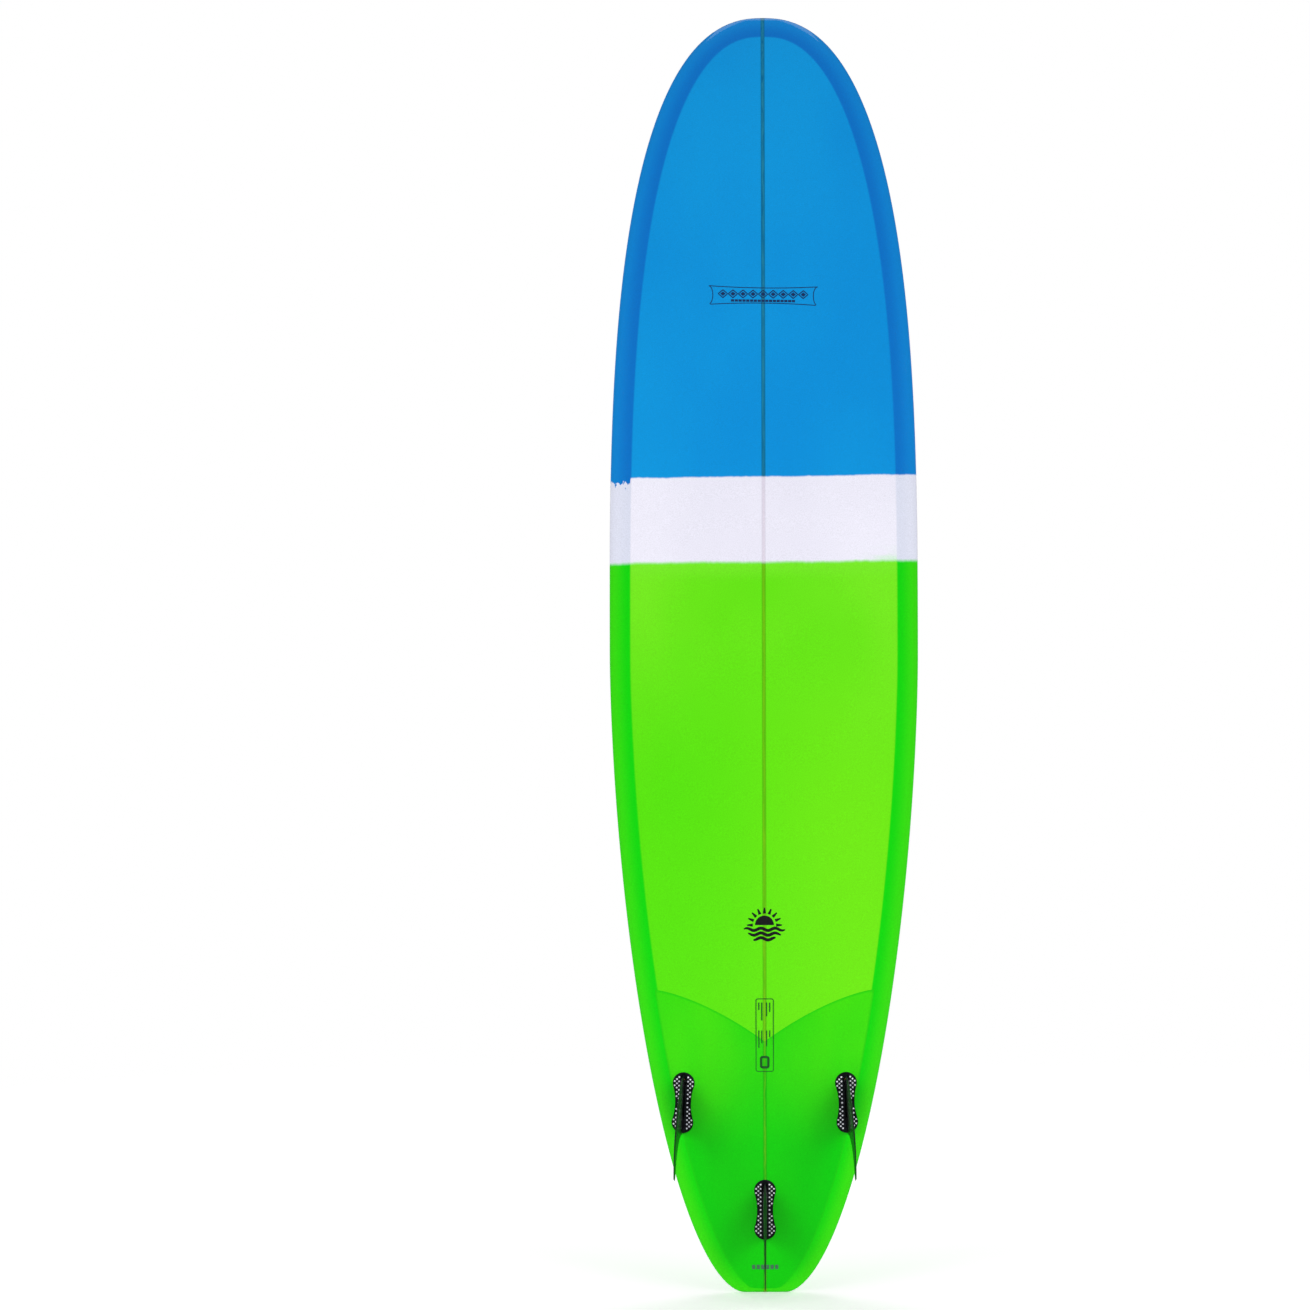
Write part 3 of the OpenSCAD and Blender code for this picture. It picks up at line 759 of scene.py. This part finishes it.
# ---- fin plugs
PLUG_LENGTH = 117.0
PLUG_WIDTH = 41.0
PLUG_WAIST = 30.0
PLUG_DEPTH = 20.0
SEAM = 0.1
OVER = 6.0
END_R = PLUG_WIDTH / 2
END_Z = PLUG_LENGTH / 2 - END_R
WAIST_R = (END_Z ** 2 + (PLUG_WAIST / 2) ** 2 - END_R ** 2) / (PLUG_WIDTH - PLUG_WAIST)
WAIST_X = PLUG_WAIST / 2 + WAIST_R


def dog_bone(grow, arc=20, waist=10):
    """Outline of a fin plug, counter-clockwise as seen with X right and Z up."""
    contact = math.atan2(-END_Z, WAIST_X)
    ends = np.linspace(math.pi / 2, contact, arc)
    corner = np.stack([(END_R + grow) * np.cos(ends), END_Z + (END_R + grow) * np.sin(ends)], -1)
    turn = np.linspace(math.pi + contact, math.pi, waist)[1:]
    side = np.stack([WAIST_X + (WAIST_R - grow) * np.cos(turn), (WAIST_R - grow) * np.sin(turn)], -1)
    quarter = np.concatenate([corner, side])
    right = np.concatenate([quarter, quarter[-2::-1] * (1, -1)])
    left = right[-2:0:-1] * (-1, 1)
    return np.concatenate([right, left])[::-1]


def in_dog_bone(x, z, inset):
    contact_z = END_Z * WAIST_R / (END_R + WAIST_R)
    if abs(z) > contact_z:
        return math.hypot(x, abs(z) - END_Z) < END_R - inset
    return abs(x) < WAIST_X - math.sqrt((WAIST_R + inset) ** 2 - z ** 2)


def plug_cutter(side):
    points, faces = prism(dog_bone(SEAM, 32, 16), -PLUG_DEPTH - SEAM, OVER)
    return make(f"{side}_cutter", places[side].points(points), faces, None, body=None)


STUD_COLUMN = 4.2
STUD_ROW = 4.1
STUD_R = 1.75
STUD_HEIGHT = 0.25
STUD_SIDES = 8
STUD_INSET = 2.9
SLOT_HALF = 3.1
STUD_CLEAR = 1.6
SCOOP_START = 32.0
SCOOP_HALF = 5.25
STUD_LAP = 0.4


def stud_spots():
    """Middles of the light studs: a staggered grid on both cheeks of the plug."""
    rows, columns = int(PLUG_LENGTH / 2 / STUD_ROW), int(PLUG_WIDTH / 2 / STUD_COLUMN)
    spots = [(column * STUD_COLUMN, row * STUD_ROW) for row in range(-rows, rows + 1)
             for column in range(-columns, columns + 1) if (row + column) % 2 == 0]
    return [spot for spot in spots if stud_fits(*spot)]


def stud_fits(x, z):
    in_scoop = SCOOP_START - STUD_CLEAR < z and abs(x) < SCOOP_HALF + STUD_CLEAR - STUD_LAP
    return in_dog_bone(x, z, STUD_INSET) and abs(x) > SLOT_HALF + STUD_CLEAR and not in_scoop


def stud(x, z):
    rings = []
    for radius, height in ((STUD_R, 0.0), (STUD_R * 0.9, STUD_HEIGHT * 0.7), (STUD_R * 0.55, STUD_HEIGHT)):
        rings += [[x + radius * math.cos(a), height, z - radius * math.sin(a)]
                  for a in turns(STUD_SIDES)]
    faces = ring_faces(3, STUD_SIDES)
    last = 2 * STUD_SIDES
    return rings, faces + [list(range(STUD_SIDES - 1, -1, -1)), list(range(last, last + STUD_SIDES))]


# Outward growth and height
RIM_PROFILE = ((-0.05, 0.0), (-0.1, 0.2), (-0.25, 0.3), (-0.75, 0.3), (-0.95, 0.18), (-1.05, 0.0))


def rim_ring():
    """The raised dark rim round a plug's face."""
    loops = [dog_bone(grow) for grow, _ in RIM_PROFILE]
    points = [[p[0], height, p[1]] for loop, (_, height) in zip(loops, RIM_PROFILE) for p in loop]
    return outward(points, ring_faces(len(loops), len(loops[0]), close_rows=True))


def build_plug(side, stud_material, rim_material):
    place = places[side]
    points, faces = join([stud(x, z) for x, z in stud_spots()])
    make(f"{side}_plug_studs", place.points(points), faces, stud_material, slot="plug_plastic")
    points, faces = rim_ring()
    make(f"{side}_plug_rim", place.points(points), faces, rim_material, slot="plug_plastic")


SPRING_ENDS = (43.15, 53.0)
SPRING_R = 2.4
SPRING_BORE = 1.5
SPRING_RIBS = 4
SPRING_ROWS = 41
SPRING_GROOVE = 0.12
SPRING_STEPS = 32


def build_spring(side, material):
    """A ribbed rubber sleeve between the barrel and the plug's end."""
    place, (start, end) = places[side], SPRING_ENDS
    share = np.linspace(0, 1, SPRING_ROWS)
    outer = SPRING_R - SPRING_GROOVE * (1 - np.cos(2 * math.pi * SPRING_RIBS * share))
    profile = list(zip(outer, start + (end - start) * share)) + [(SPRING_BORE, end), (SPRING_BORE, start)]
    points = [[r * math.cos(a), BARREL_Y + r * math.sin(a), z] for r, z in profile
              for a in turns(SPRING_STEPS)]
    points, faces = outward(points, ring_faces(len(profile), SPRING_STEPS, close_rows=True))
    sleeve = make(f"{side}_sleeve", place.points(points), faces, material, slot="spring_rubber",
                  replaces=[f"{side}_spring"])
    anchor = place.points([[0, BARREL_Y, end]])[0] * MM
    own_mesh(sleeve)


# ---- fins
FIN_FRONT = PLUG_LENGTH / 2 - 5
FIN_GAP = 0.3
LEAD = np.array([[0, 0], [25, 53], [86, 150], [173, 116]], float)
TRAIL = np.array([[115, 0], [101, 51], [131, 89], [164, 97]], float)
TIP = np.array([[164, 97], [176, 100], [181, 110], [173, 116]], float)
TIP_SHARE = 0.8
FIN_THICK = 8.0
FIN_TIP_THICK = 1.8
TAPER = 0.8
EDGE_THICK = 0.5
FOIL_TERMS = (2.969, -1.26, -3.516, 2.843, -1.036)
FIN_ROWS = 60
FIN_CHORD = 26
RING_SIZE = 2 * FIN_CHORD
OFF_RIM = 20.0
TAB_THICK = 5.6
TAB_DEPTH = 13.0
TAB_ROOT = 1.2
TAB_CORNER = 1.5
TAB_BEVEL = 0.4
NOTCH_R = 3.05
FRONT_TAB = (26.0, 40.0)
REAR_TAB = (-48.0, -28.0)
OUTER_SHARE = {"left": 0.15, "right": 0.85, "center": 0.5}


def bezier(p, t):
    t = np.asarray(t, float)[..., None]
    return (1 - t) ** 3 * p[0] + 3 * t * (1 - t) ** 2 * p[1] + 3 * t * t * (1 - t) * p[2] + t ** 3 * p[3]


def trail(t):
    late = bezier(TIP, np.clip((t - TIP_SHARE) / (1 - TIP_SHARE), 0, 1))
    return np.where((t < TIP_SHARE)[..., None], bezier(TRAIL, np.clip(t / TIP_SHARE, 0, 1)), late)


def foil(c):
    terms = (np.sqrt(c), c, c ** 2, c ** 3, c ** 4)
    return sum(k * term for k, term in zip(FOIL_TERMS, terms))


def blade(plus_share):
    """The fin's blade, with its foil split between the two sides."""
    t = 0.998 * np.linspace(0, 1, FIN_ROWS + 1) ** 0.85
    c = (1 - np.cos(np.linspace(0, math.pi, FIN_CHORD + 1))) / 2
    front, back = bezier(LEAD, t), trail(t)
    line = front[:, None] + c[None, :, None] * (back - front)[:, None]
    depth = FIN_THICK - (FIN_THICK - FIN_TIP_THICK) * t ** TAPER
    half = depth[:, None] * np.maximum(foil(c), 0)[None]
    half = np.maximum(half, EDGE_THICK / 2 * np.sin(np.linspace(0, math.pi, FIN_CHORD + 1)) ** 0.3)
    around = [(k, plus_share) for k in range(FIN_CHORD + 1)]
    around += [(k, plus_share - 1) for k in range(FIN_CHORD - 1, 0, -1)]
    rings = [[share * widths[k], FIN_GAP + row[k][1], FIN_FRONT - row[k][0]]
             for row, widths in zip(line, half) for k, share in around]
    last = FIN_ROWS * RING_SIZE
    faces = [f[::-1] for f in ring_faces(FIN_ROWS + 1, RING_SIZE)]
    return rings, faces + [list(range(RING_SIZE)), list(range(last + RING_SIZE - 1, last - 1, -1))]


def fin_tab(span, notched):
    """A base tab, rounded at its foot, with a half-round notch for the sprung barrel."""
    low, high = span
    top = FIN_GAP + TAB_ROOT
    outline = [[low, top], [low, TAB_CORNER - TAB_DEPTH], [low + TAB_CORNER, -TAB_DEPTH],
               [high - TAB_CORNER, -TAB_DEPTH], [high, TAB_CORNER - TAB_DEPTH]]
    if notched:
        turn = np.linspace(-math.pi / 2, -3 * math.pi / 2, 17)
        outline += [[BARREL_Z + NOTCH_R * math.cos(a), BARREL_Y + NOTCH_R * math.sin(a)] for a in turn]
    outline.append([high, top])
    n = len(outline)
    away = np.array(outline) - np.mean(outline, axis=0)
    away /= np.linalg.norm(away, axis=1)[:, None]
    points, half = [], TAB_THICK / 2
    for x, shrink in ((-half, TAB_BEVEL), (TAB_BEVEL - half, 0), (half - TAB_BEVEL, 0), (half, TAB_BEVEL)):
        points += [[x, p[1], p[0]] for p in np.array(outline) - away * shrink]
    faces = [f[::-1] for f in ring_faces(4, n)]
    faces += [list(range(n)), list(range(4 * n - 1, 3 * n - 1, -1))]
    return points, faces


def build_fin(side, material):
    parts = [blade(OUTER_SHARE[side]), fin_tab(FRONT_TAB, True), fin_tab(REAR_TAB, False)]
    points, faces = join(parts)
    obj = make(f"{side}_fin_blade", places[side].points(points), faces, material, body=f"{side}_fin_body",
               slot="fin_composite", replaces=[f"{side}_fin"], smooth=50)
    rim = np.full(len(points), OFF_RIM)
    for n in range((FIN_ROWS + 1) * RING_SIZE):
        k = n % RING_SIZE
        edge = points[n - k] if min(k, RING_SIZE - k) < FIN_CHORD / 2 else points[n - k + FIN_CHORD]
        rim[n] = np.linalg.norm(points[n] - edge)
    write(obj, "rim", rim)


# ---- leash plug
CUP_R = 8.0
CUP_DEPTH = 13.0
FLANGE_R = 14.25
FLANGE_THICK = 2.0
BODY_R = 12.5
CUP_FLOOR = 3.0
LATHE_STEPS = 72


def fillet(centre_r, centre_y, radius, start, end, steps=7):
    return [[centre_r + radius * math.cos(a), centre_y + radius * math.sin(a)]
            for a in np.radians(np.linspace(start, end, steps))]


def lathe(profile):
    """Turns [radius, depth] points round local Y. The first and last lie on the axis."""
    rim = np.array(profile[1:-1])
    points = [[r * math.cos(a), y, r * math.sin(a)] for r, y in rim for a in turns(LATHE_STEPS)]
    count = len(rim)
    faces = ring_faces(count, LATHE_STEPS)
    points += [[0, profile[0][1], 0], [0, profile[-1][1], 0]]
    first, last = count * LATHE_STEPS, count * LATHE_STEPS + 1
    for k in range(LATHE_STEPS):
        following = (k + 1) % LATHE_STEPS
        faces.append([following, k, first])
        faces.append([(count - 1) * LATHE_STEPS + k, (count - 1) * LATHE_STEPS + following, last])
    return outward(points, faces)


def box_centre(node):
    low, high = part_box(node)
    return np.array([low.x + high.x, low.z + high.z]) / 2 / MM


def leash_piece(name, profile, material, body, **more):
    """A turned piece in the leash plug's place, from its profile's radii and depths."""
    x, z = box_centre("leash_plug")
    points, faces = lathe(profile)
    return make(name, points + (x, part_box("leash_plug")[0].y / MM, z), faces, material, body, **more)


def build_leash_plug(material):
    lip, edge = 0.7, 0.8
    profile = [[0, CUP_DEPTH]]
    profile += fillet(CUP_R - 2, CUP_DEPTH - 2, 2, 90, 0)
    profile += fillet(CUP_R + lip, lip, lip, 180, 270)
    profile += fillet(FLANGE_R - edge, edge, edge, -90, 0)
    leash_piece("leash_cup", profile + under_flange(0), material, "board", slot="leash_plastic",
                replaces=["leash_plug"], smooth=30)


def under_flange(grow):
    """The plug's profile from its flange's edge down to the middle of its floor, grown by this much."""
    flange, body = FLANGE_R + grow, BODY_R + grow
    step, floor = FLANGE_THICK + grow, CUP_DEPTH + CUP_FLOOR + grow
    return [[flange, step], [body, step], [body, floor], [0, floor]]


def leash_cutter():
    top = [[0, -OVER], [FLANGE_R + SEAM, -OVER]]
    return leash_piece("leash_cutter", top + under_flange(SEAM), None, None)


# ---- skins
def build_skins(cutters, deck_material, bottom_material):
    heights = stations()
    outer, inner = skin_grid(heights, 0.0), skin_grid(heights, SKIN)
    count, loop = outer.shape[:2]
    chosen = np.zeros((count, loop), bool)
    between = (heights[:-1] > LAP_INSET - TINY) & (heights[1:] < LENGTH - LAP_INSET + TINY)
    panel = np.zeros(loop, bool)
    panel[:PANEL_COLUMNS] = True
    panel[loop - 1 - PANEL_COLUMNS:] = True
    chosen[:-1] = between[:, None] & panel[None]
    deck = make("deck_skin", *shell(outer, inner, chosen, False), deck_material, slot="deck_resin",
                replaces=["deck_laminate"])
    rest = ~chosen
    rest[-1] = False
    bottom = make("bottom_skin", *shell(outer, inner, rest, True), bottom_material, slot="bottom_resin",
                  replaces=["bottom_laminate"])
    cut(deck, [cutters["leash"]])
    cut(bottom, [cutters[side] for side in SIDES])
    for skin in (deck, bottom):
        write_distances(skin)


PATCH_TAIL = 4.0
PATCH_DIP = 485.0
PATCH_RISE = 98.0
PATCH_SWEEP = 1.45
PATCH_INSET = 3.0
PATCH_LIFT = 0.03
PATCH_THICK = 0.52
PATCH_EDGE = 0.05
PATCH_FEATHER = 22.0
PATCH_ROWS = 90
PATCH_CROWDING = 1.3
PATCH_COLUMNS = 64
PATCH_SLANT = 0.8


def patch_border(x, z):
    """Distance inside the tail cloth's edges."""
    reach = half_width(z) - LAP_INSET + PATCH_INSET
    top = patch_top(np.clip(x / reach, -1, 1))
    upper = np.minimum(reach - np.abs(x), (top - z) * PATCH_SLANT)
    return np.clip(np.minimum(upper, z - PATCH_TAIL), 0, None)


def patch_top(s):
    return PATCH_DIP + PATCH_RISE * (1 - (1 - np.abs(s)) ** PATCH_SWEEP)


def build_tail_cloth(cutters, material):
    """The extra tail cloth, feathered to nothing at its edges, in the CAD sheet's place."""
    s = np.linspace(-1, 1, PATCH_COLUMNS + 1)[None]
    rise = 1 - (1 - np.linspace(0, 1, PATCH_ROWS + 1)[:, None]) ** PATCH_CROWDING
    z = PATCH_TAIL + (patch_top(s) - PATCH_TAIL) * rise
    x = s * (half_width(z) - LAP_INSET + PATCH_INSET)
    border = patch_border(x, z)
    thick = PATCH_EDGE + (PATCH_THICK - PATCH_EDGE) * np.clip(border / PATCH_FEATHER, 0, 1)
    low = on_board(x, z, True, PATCH_LIFT)
    high = on_board(x, z, True, PATCH_LIFT + thick)
    points, faces = outward(*sheet_solid(high, low))
    cloth = make("tail_cloth", points, faces, material, slot="patch_resin", replaces=["tail_patch"])
    cut(cloth, [cutters[side] for side in SIDES])
    x, _, z = axes_of(cloth)
    write(cloth, "border", patch_border(x, z))


def sheet_solid(high, low):
    """A closed thin solid between two grids [row, column], high on the side with its normal out."""
    rows, columns = high.shape[:2]
    cells = [[i * columns + k, (i + 1) * columns + k, (i + 1) * columns + k + 1, i * columns + k + 1]
             for i in range(rows - 1) for k in range(columns - 1)]
    points = np.concatenate([high.reshape(-1, 3), low.reshape(-1, 3)])
    return points, thickened(cells, rows * columns)


# ---- printed labels
LABEL_LIFT = 0.06
LABEL_THICK = 0.12
STROKE_STEP = 3.0
CELL_WIDTH = 8
TILT = 0.8
TAIL_MARKS_Z = 50.5


def stroke(line, widths, closed=False):
    """A flat band along a line of [x, z] points: rows across it, each (left, right)."""
    line = np.asarray(line, float)
    widths = np.broadcast_to(np.asarray(widths, float), len(line))
    if closed:
        line, widths = np.concatenate([line, line[:1]]), np.append(widths, widths[0])
    run = np.concatenate([[0], np.cumsum(np.linalg.norm(np.diff(line, axis=0), axis=1))])
    extra = np.linspace(0, run[-1], max(2, int(run[-1] / STROKE_STEP) + 1))
    at = np.unique(np.round(np.concatenate([run, extra]), 4))
    points = np.stack([np.interp(at, run, line[:, n]) for n in (0, 1)], axis=-1)
    half = np.interp(at, run, widths)[:, None] / 2
    ahead = np.gradient(points, axis=0)
    if closed:
        ahead[0] = ahead[-1] = points[1] - points[-2]
    ahead /= np.linalg.norm(ahead, axis=1)[:, None]
    side = np.stack([-ahead[:, 1], ahead[:, 0]], axis=-1)
    return np.stack([points + side * half, points - side * half], axis=1)


def printed(name, centre, bands, bottom, material, slot, lift, replaces=()):
    """Bands in [x, z] round a centre, laid on the board as thin closed solids."""
    parts = []
    for band in bands:
        across = np.linspace(0, 1, 2 + int(np.abs(band[:, 0] - band[:, 1]).max() / CELL_WIDTH))
        grid = band[:, :1] + (band[:, 1:] - band[:, :1]) * across[None, :, None]
        x, z = grid[..., 0] + centre[0], grid[..., 1] + centre[1]
        high = on_board(x, z, bottom, lift + LABEL_THICK)
        low = on_board(x, z, bottom, lift)
        parts.append(sheet_solid(high, low))
    points, faces = join(parts)
    make(name, points, faces, material, slot=slot, replaces=replaces, smooth=20)


def box_line(half_x, half_z, corner, steps=6):
    """A rounded rectangle's line."""
    points = []
    for start, sx, sz in ((0, 1, 1), (90, -1, 1), (180, -1, -1), (270, 1, -1)):
        for a in np.radians(np.linspace(start, start + 90, steps)):
            points.append([sx * (half_x - corner) + corner * math.cos(a),
                           sz * (half_z - corner) + corner * math.sin(a)])
    return points


def bar(x, z, length, width, upright=False):
    half = length / 2
    line = [[x, z - half], [x, z + half]] if upright else [[x - half, z], [x + half, z]]
    return stroke(line, width)


def diamond(x, z, length, width):
    """An outlined diamond with a filled one in it."""
    half, high = length / 2 - 1.2, width / 2 - 1.0
    ring = stroke([[x - half, z], [x, z + high], [x + half, z], [x, z - high]], 1.9, closed=True)
    core = stroke([[x - half * 0.55, z], [x, z], [x + half * 0.55, z]], [0.3, high * 1.1, 0.3])
    return [ring, core]


def banner(tilt=0):
    """A plain pennant outline with pulled-in ends, and a row of diamonds over a broken line."""
    half_x, half_z, dip = 103.0, 17.6, 3.2
    top = [[x, half_z - dip * (1 - (x / half_x) ** 2)] for x in np.linspace(-half_x, half_x, 25)]
    ends = [[half_x - 8 * math.cos(a), half_z * math.sin(a)] for a in np.radians(np.linspace(70, -70, 9))]
    right = [[half_x, half_z]] + ends + [[half_x - 4, -half_z]]
    low = [[x * (1 - 4 / half_x), -z] for x, z in top]
    bands = [stroke(top, 1.5), stroke(low, 1.5), stroke(right, 1.5), stroke(np.array(right) * (-1, 1), 1.5)]
    for x in np.arange(-76, 77, 19):
        bands += diamond(x, 2.6, 20, 17)
    bands += [bar(x, -10.0, 6.0, 4.4) for x in np.arange(-57.6, 58, 7.2)]
    turn = math.radians(tilt)
    spin = np.array([[math.cos(turn), math.sin(turn)], [-math.sin(turn), math.cos(turn)]])
    return [band @ spin for band in bands]


def roundel():
    """A plain mark: a half disc over three waves."""
    rays = []
    for angle in np.radians(np.linspace(0, 180, 9)):
        direction = np.array([math.cos(angle), math.sin(angle)])
        rays.append(stroke([direction * 22, direction * 33], [6.0, 2.4]))
    bands = rays + [half_disc(18.0)]
    for row, reach in ((-8, 39), (-17, 31), (-26, 21)):
        x = np.linspace(-reach, reach, 41)
        line = np.stack([x, row + 2.2 * np.sin(x / 40 * 3 * math.pi)], axis=-1)
        bands.append(stroke(line, 6.0 * np.sqrt(np.clip(1 - (x / (reach + 1)) ** 4, 0.02, 1))))
    return [band - (0, 2) for band in bands]


def half_disc(radius):
    """The upper half of a disc as one band of upright rows."""
    x = np.linspace(-radius + 0.2, radius - 0.2, 25)
    top = np.stack([x, np.sqrt(radius ** 2 - x ** 2)], axis=-1)
    foot = np.stack([x, np.zeros_like(x)], axis=-1)
    return np.stack([top, foot], axis=1)


def data_panel():
    """A rounded frame with plain bars of several lengths: places for data, with no writing."""
    bands = [stroke(box_line(16.4, 69, 3.5), 1.4, closed=True)]
    bands.append(stroke(box_line(6.8, 9.8, 3) + np.array([0, -51.5]), 4.6, closed=True))
    for column, lengths in zip((-9.5, -3.5, 5.5, 11), ((18, 13), (26, 30), (34, 24), (14, 33))):
        bands.append(bar(column, 62 - lengths[0] / 2, lengths[0], 2.0, upright=True))
        bands.append(bar(column, 9 - lengths[1] / 2, lengths[1], 1.8, upright=True))
    return bands


def tail_marks():
    return [bar(x, 0, 6.4, 9) for x in np.arange(-22, 23, 8.8)]


# ---- stage, lights and camera
CAMERA_DISTANCE = 5.9
CAMERA_HEIGHT = 1.216
ROLL = 0.126
LENS = 84.9
SHIFT_X = -0.0831
FLOOR_RADIUS = 9.0
FLOOR_GLOW = 0.26
FLOOR_SIDES = 96
FLOOR_FADE = (1400, 3600)


def build_stage():
    """A round pale floor that fades into the white surround."""
    mesh = bpy.data.meshes.new("floor")
    points = [[FLOOR_RADIUS * math.cos(a), FLOOR_RADIUS * math.sin(a), 0] for a in turns(FLOOR_SIDES)]
    mesh.from_pydata(points, [], [list(range(len(points)))])
    floor = link("floor", mesh)
    g = Graph("pale_floor")
    x, y, _ = g.axes()
    away = g.math("SQRT", g.math("ADD", g.times(x, x), g.times(y, y)))
    blend = g.node("MixShader")
    g.finish((0.93, 0.93, 0.93, 1), Roughness=0.9, Specular_IOR_Level=0.1, Emission_Strength=FLOOR_GLOW,
             Emission_Color=(1, 1, 1, 1))
    g.put(g.ramp(away, *FLOOR_FADE), blend.inputs[0])
    g.put(g.shader.outputs[0], blend.inputs[1])
    g.put(g.node("BsdfTransparent").outputs[0], blend.inputs[2])
    g.put(blend.outputs[0], g.tree.nodes["Material Output"].inputs["Surface"])
    mesh.materials.append(g.material)
    floor.visible_glossy = False


AMBIENT = 0.42
IN_GLOSS = 0.08
SURROUND = 1.0
SIDE_LIGHT = 70.0
SIDE_AWAY = 4.2
SIDE_HEIGHT = 1.5
SIDE_SIZE = (2.2, 2.8)
TOP_LIGHT = 26.0
TOP_HEIGHT = 5.2
TOP_SIZE = (2.5, 2.5)


def build_lights():
    """The surround, with strengths of its own for camera and glossy rays, and five lights."""
    world = bpy.data.worlds.new("surround")
    bpy.context.scene.world = world
    world.use_nodes = True
    tree = world.node_tree
    background = tree.nodes["Background"]
    background.inputs["Color"].default_value = (1, 1, 1, 1)
    path = tree.nodes.new("ShaderNodeLightPath")
    level = background.inputs["Strength"]
    for kind, strength in (("Is Camera Ray", SURROUND), ("Is Glossy Ray", IN_GLOSS)):
        node = tree.nodes.new("ShaderNodeMapRange")
        node.inputs["To Max"].default_value = strength
        tree.links.new(path.outputs[kind], node.inputs["Value"])
        tree.links.new(node.outputs[0], level)
        level = node.inputs["To Min"]
    level.default_value = AMBIENT
    for number, angle in enumerate((45, 135, 225, 315)):
        turn = math.radians(angle)
        spot = (SIDE_AWAY * math.cos(turn), SIDE_AWAY * math.sin(turn), SIDE_HEIGHT)
        add_light(f"side_{number}", spot, SIDE_SIZE, SIDE_LIGHT).visible_glossy = False
    add_light("top", (0, 0, TOP_HEIGHT), TOP_SIZE, TOP_LIGHT)


def add_light(name, spot, size, power):
    data = bpy.data.lights.new(name, "AREA")
    data.shape = "RECTANGLE"
    data.size, data.size_y = size
    data.energy = power
    light = link(name, data)
    light.location = spot
    aim = Vector((0, 0, LENGTH * MM / 2)) - light.location
    light.rotation_euler = aim.to_track_quat("-Z", "Y").to_euler()
    return light


def build_camera():
    data = bpy.data.cameras.new("camera")
    data.lens = LENS
    data.shift_x = SHIFT_X
    data.clip_end = 100
    camera = link("camera", data)
    camera.location = (0, CAMERA_DISTANCE, CAMERA_HEIGHT)
    camera.rotation_euler = (math.pi / 2, math.radians(ROLL), math.pi)
    bpy.context.scene.camera = camera


# ---- putting it together
def repaint(node, material):
    for slot in nodes[node].material_slots:
        slot.material = material


def build_labels():
    blue_ink = ink("blue_ink", (2, 40, 92), (4, 50, 104))
    black_ink = ink("black_ink", (14, 16, 18), (26, 30, 30))
    green_ink = ink("green_ink", (8, 84, 22), (16, 104, 30))
    grey_ink = ink("grey_ink", (52, 112, 74), (66, 126, 88))
    over_cloth = PATCH_LIFT + PATCH_THICK + LABEL_LIFT
    for name, node, bands, bottom, material, slot, lift in (
            ("deck_banner", "deck_ribbon", banner(), False, blue_ink, "label_print", LABEL_LIFT),
            ("bottom_banner", "bottom_ribbon", banner(TILT), True, blue_ink, "label_print", LABEL_LIFT),
            ("tail_roundel", "bottom_emblem", roundel(), True, black_ink, "emblem_print", LABEL_LIFT),
            ("data_panel", "spec_panel", data_panel(), True, green_ink, "label_print", over_cloth)):
        printed(name, box_centre(node), bands, bottom, material, slot, lift, [node])
    printed("tail_marks", (0, TAIL_MARKS_Z), tail_marks(), True, grey_ink, "label_print", over_cloth)


def build_object():
    cutters = {side: plug_cutter(side) for side in SIDES}
    cutters["leash"] = leash_cutter()
    build_skins(cutters, deck_resin(), bottom_resin())
    build_tail_cloth(cutters, tail_resin())
    for cutter in cutters.values():
        bpy.data.objects.remove(cutter)

    foam, wood = foam_white(), stringer_wood()
    for node in ("foam_left", "foam_right"):
        repaint(node, foam)
    repaint("stringer", wood)

    plug_black = moulded("plug_black", (12, 15, 20), (26, 31, 38), 0.42)
    plug_light = moulded("plug_light", (224, 228, 240), (246, 248, 254), 0.35)
    steel = brushed_metal("barrel_steel", (168, 172, 178), 0.25)
    dark_steel = brushed_metal("leash_steel", (112, 114, 120), 0.3)
    sleeve = rubber()
    composite = fin_composite()
    for side in SIDES:
        repaint(f"{side}_fin_plug", plug_black)
        repaint(f"{side}_barrel", steel)
        build_spring(side, sleeve)
        build_plug(side, plug_light, plug_black)
        build_fin(side, composite)
    build_leash_plug(moulded("leash_white", (236, 236, 240), (248, 248, 250), 0.32, coat=0.4))
    repaint("leash_pin", dark_steel)
    build_labels()


build_camera()
build_lights()
build_stage()
build_object()

bpy.context.scene.view_settings.view_transform = "Standard"
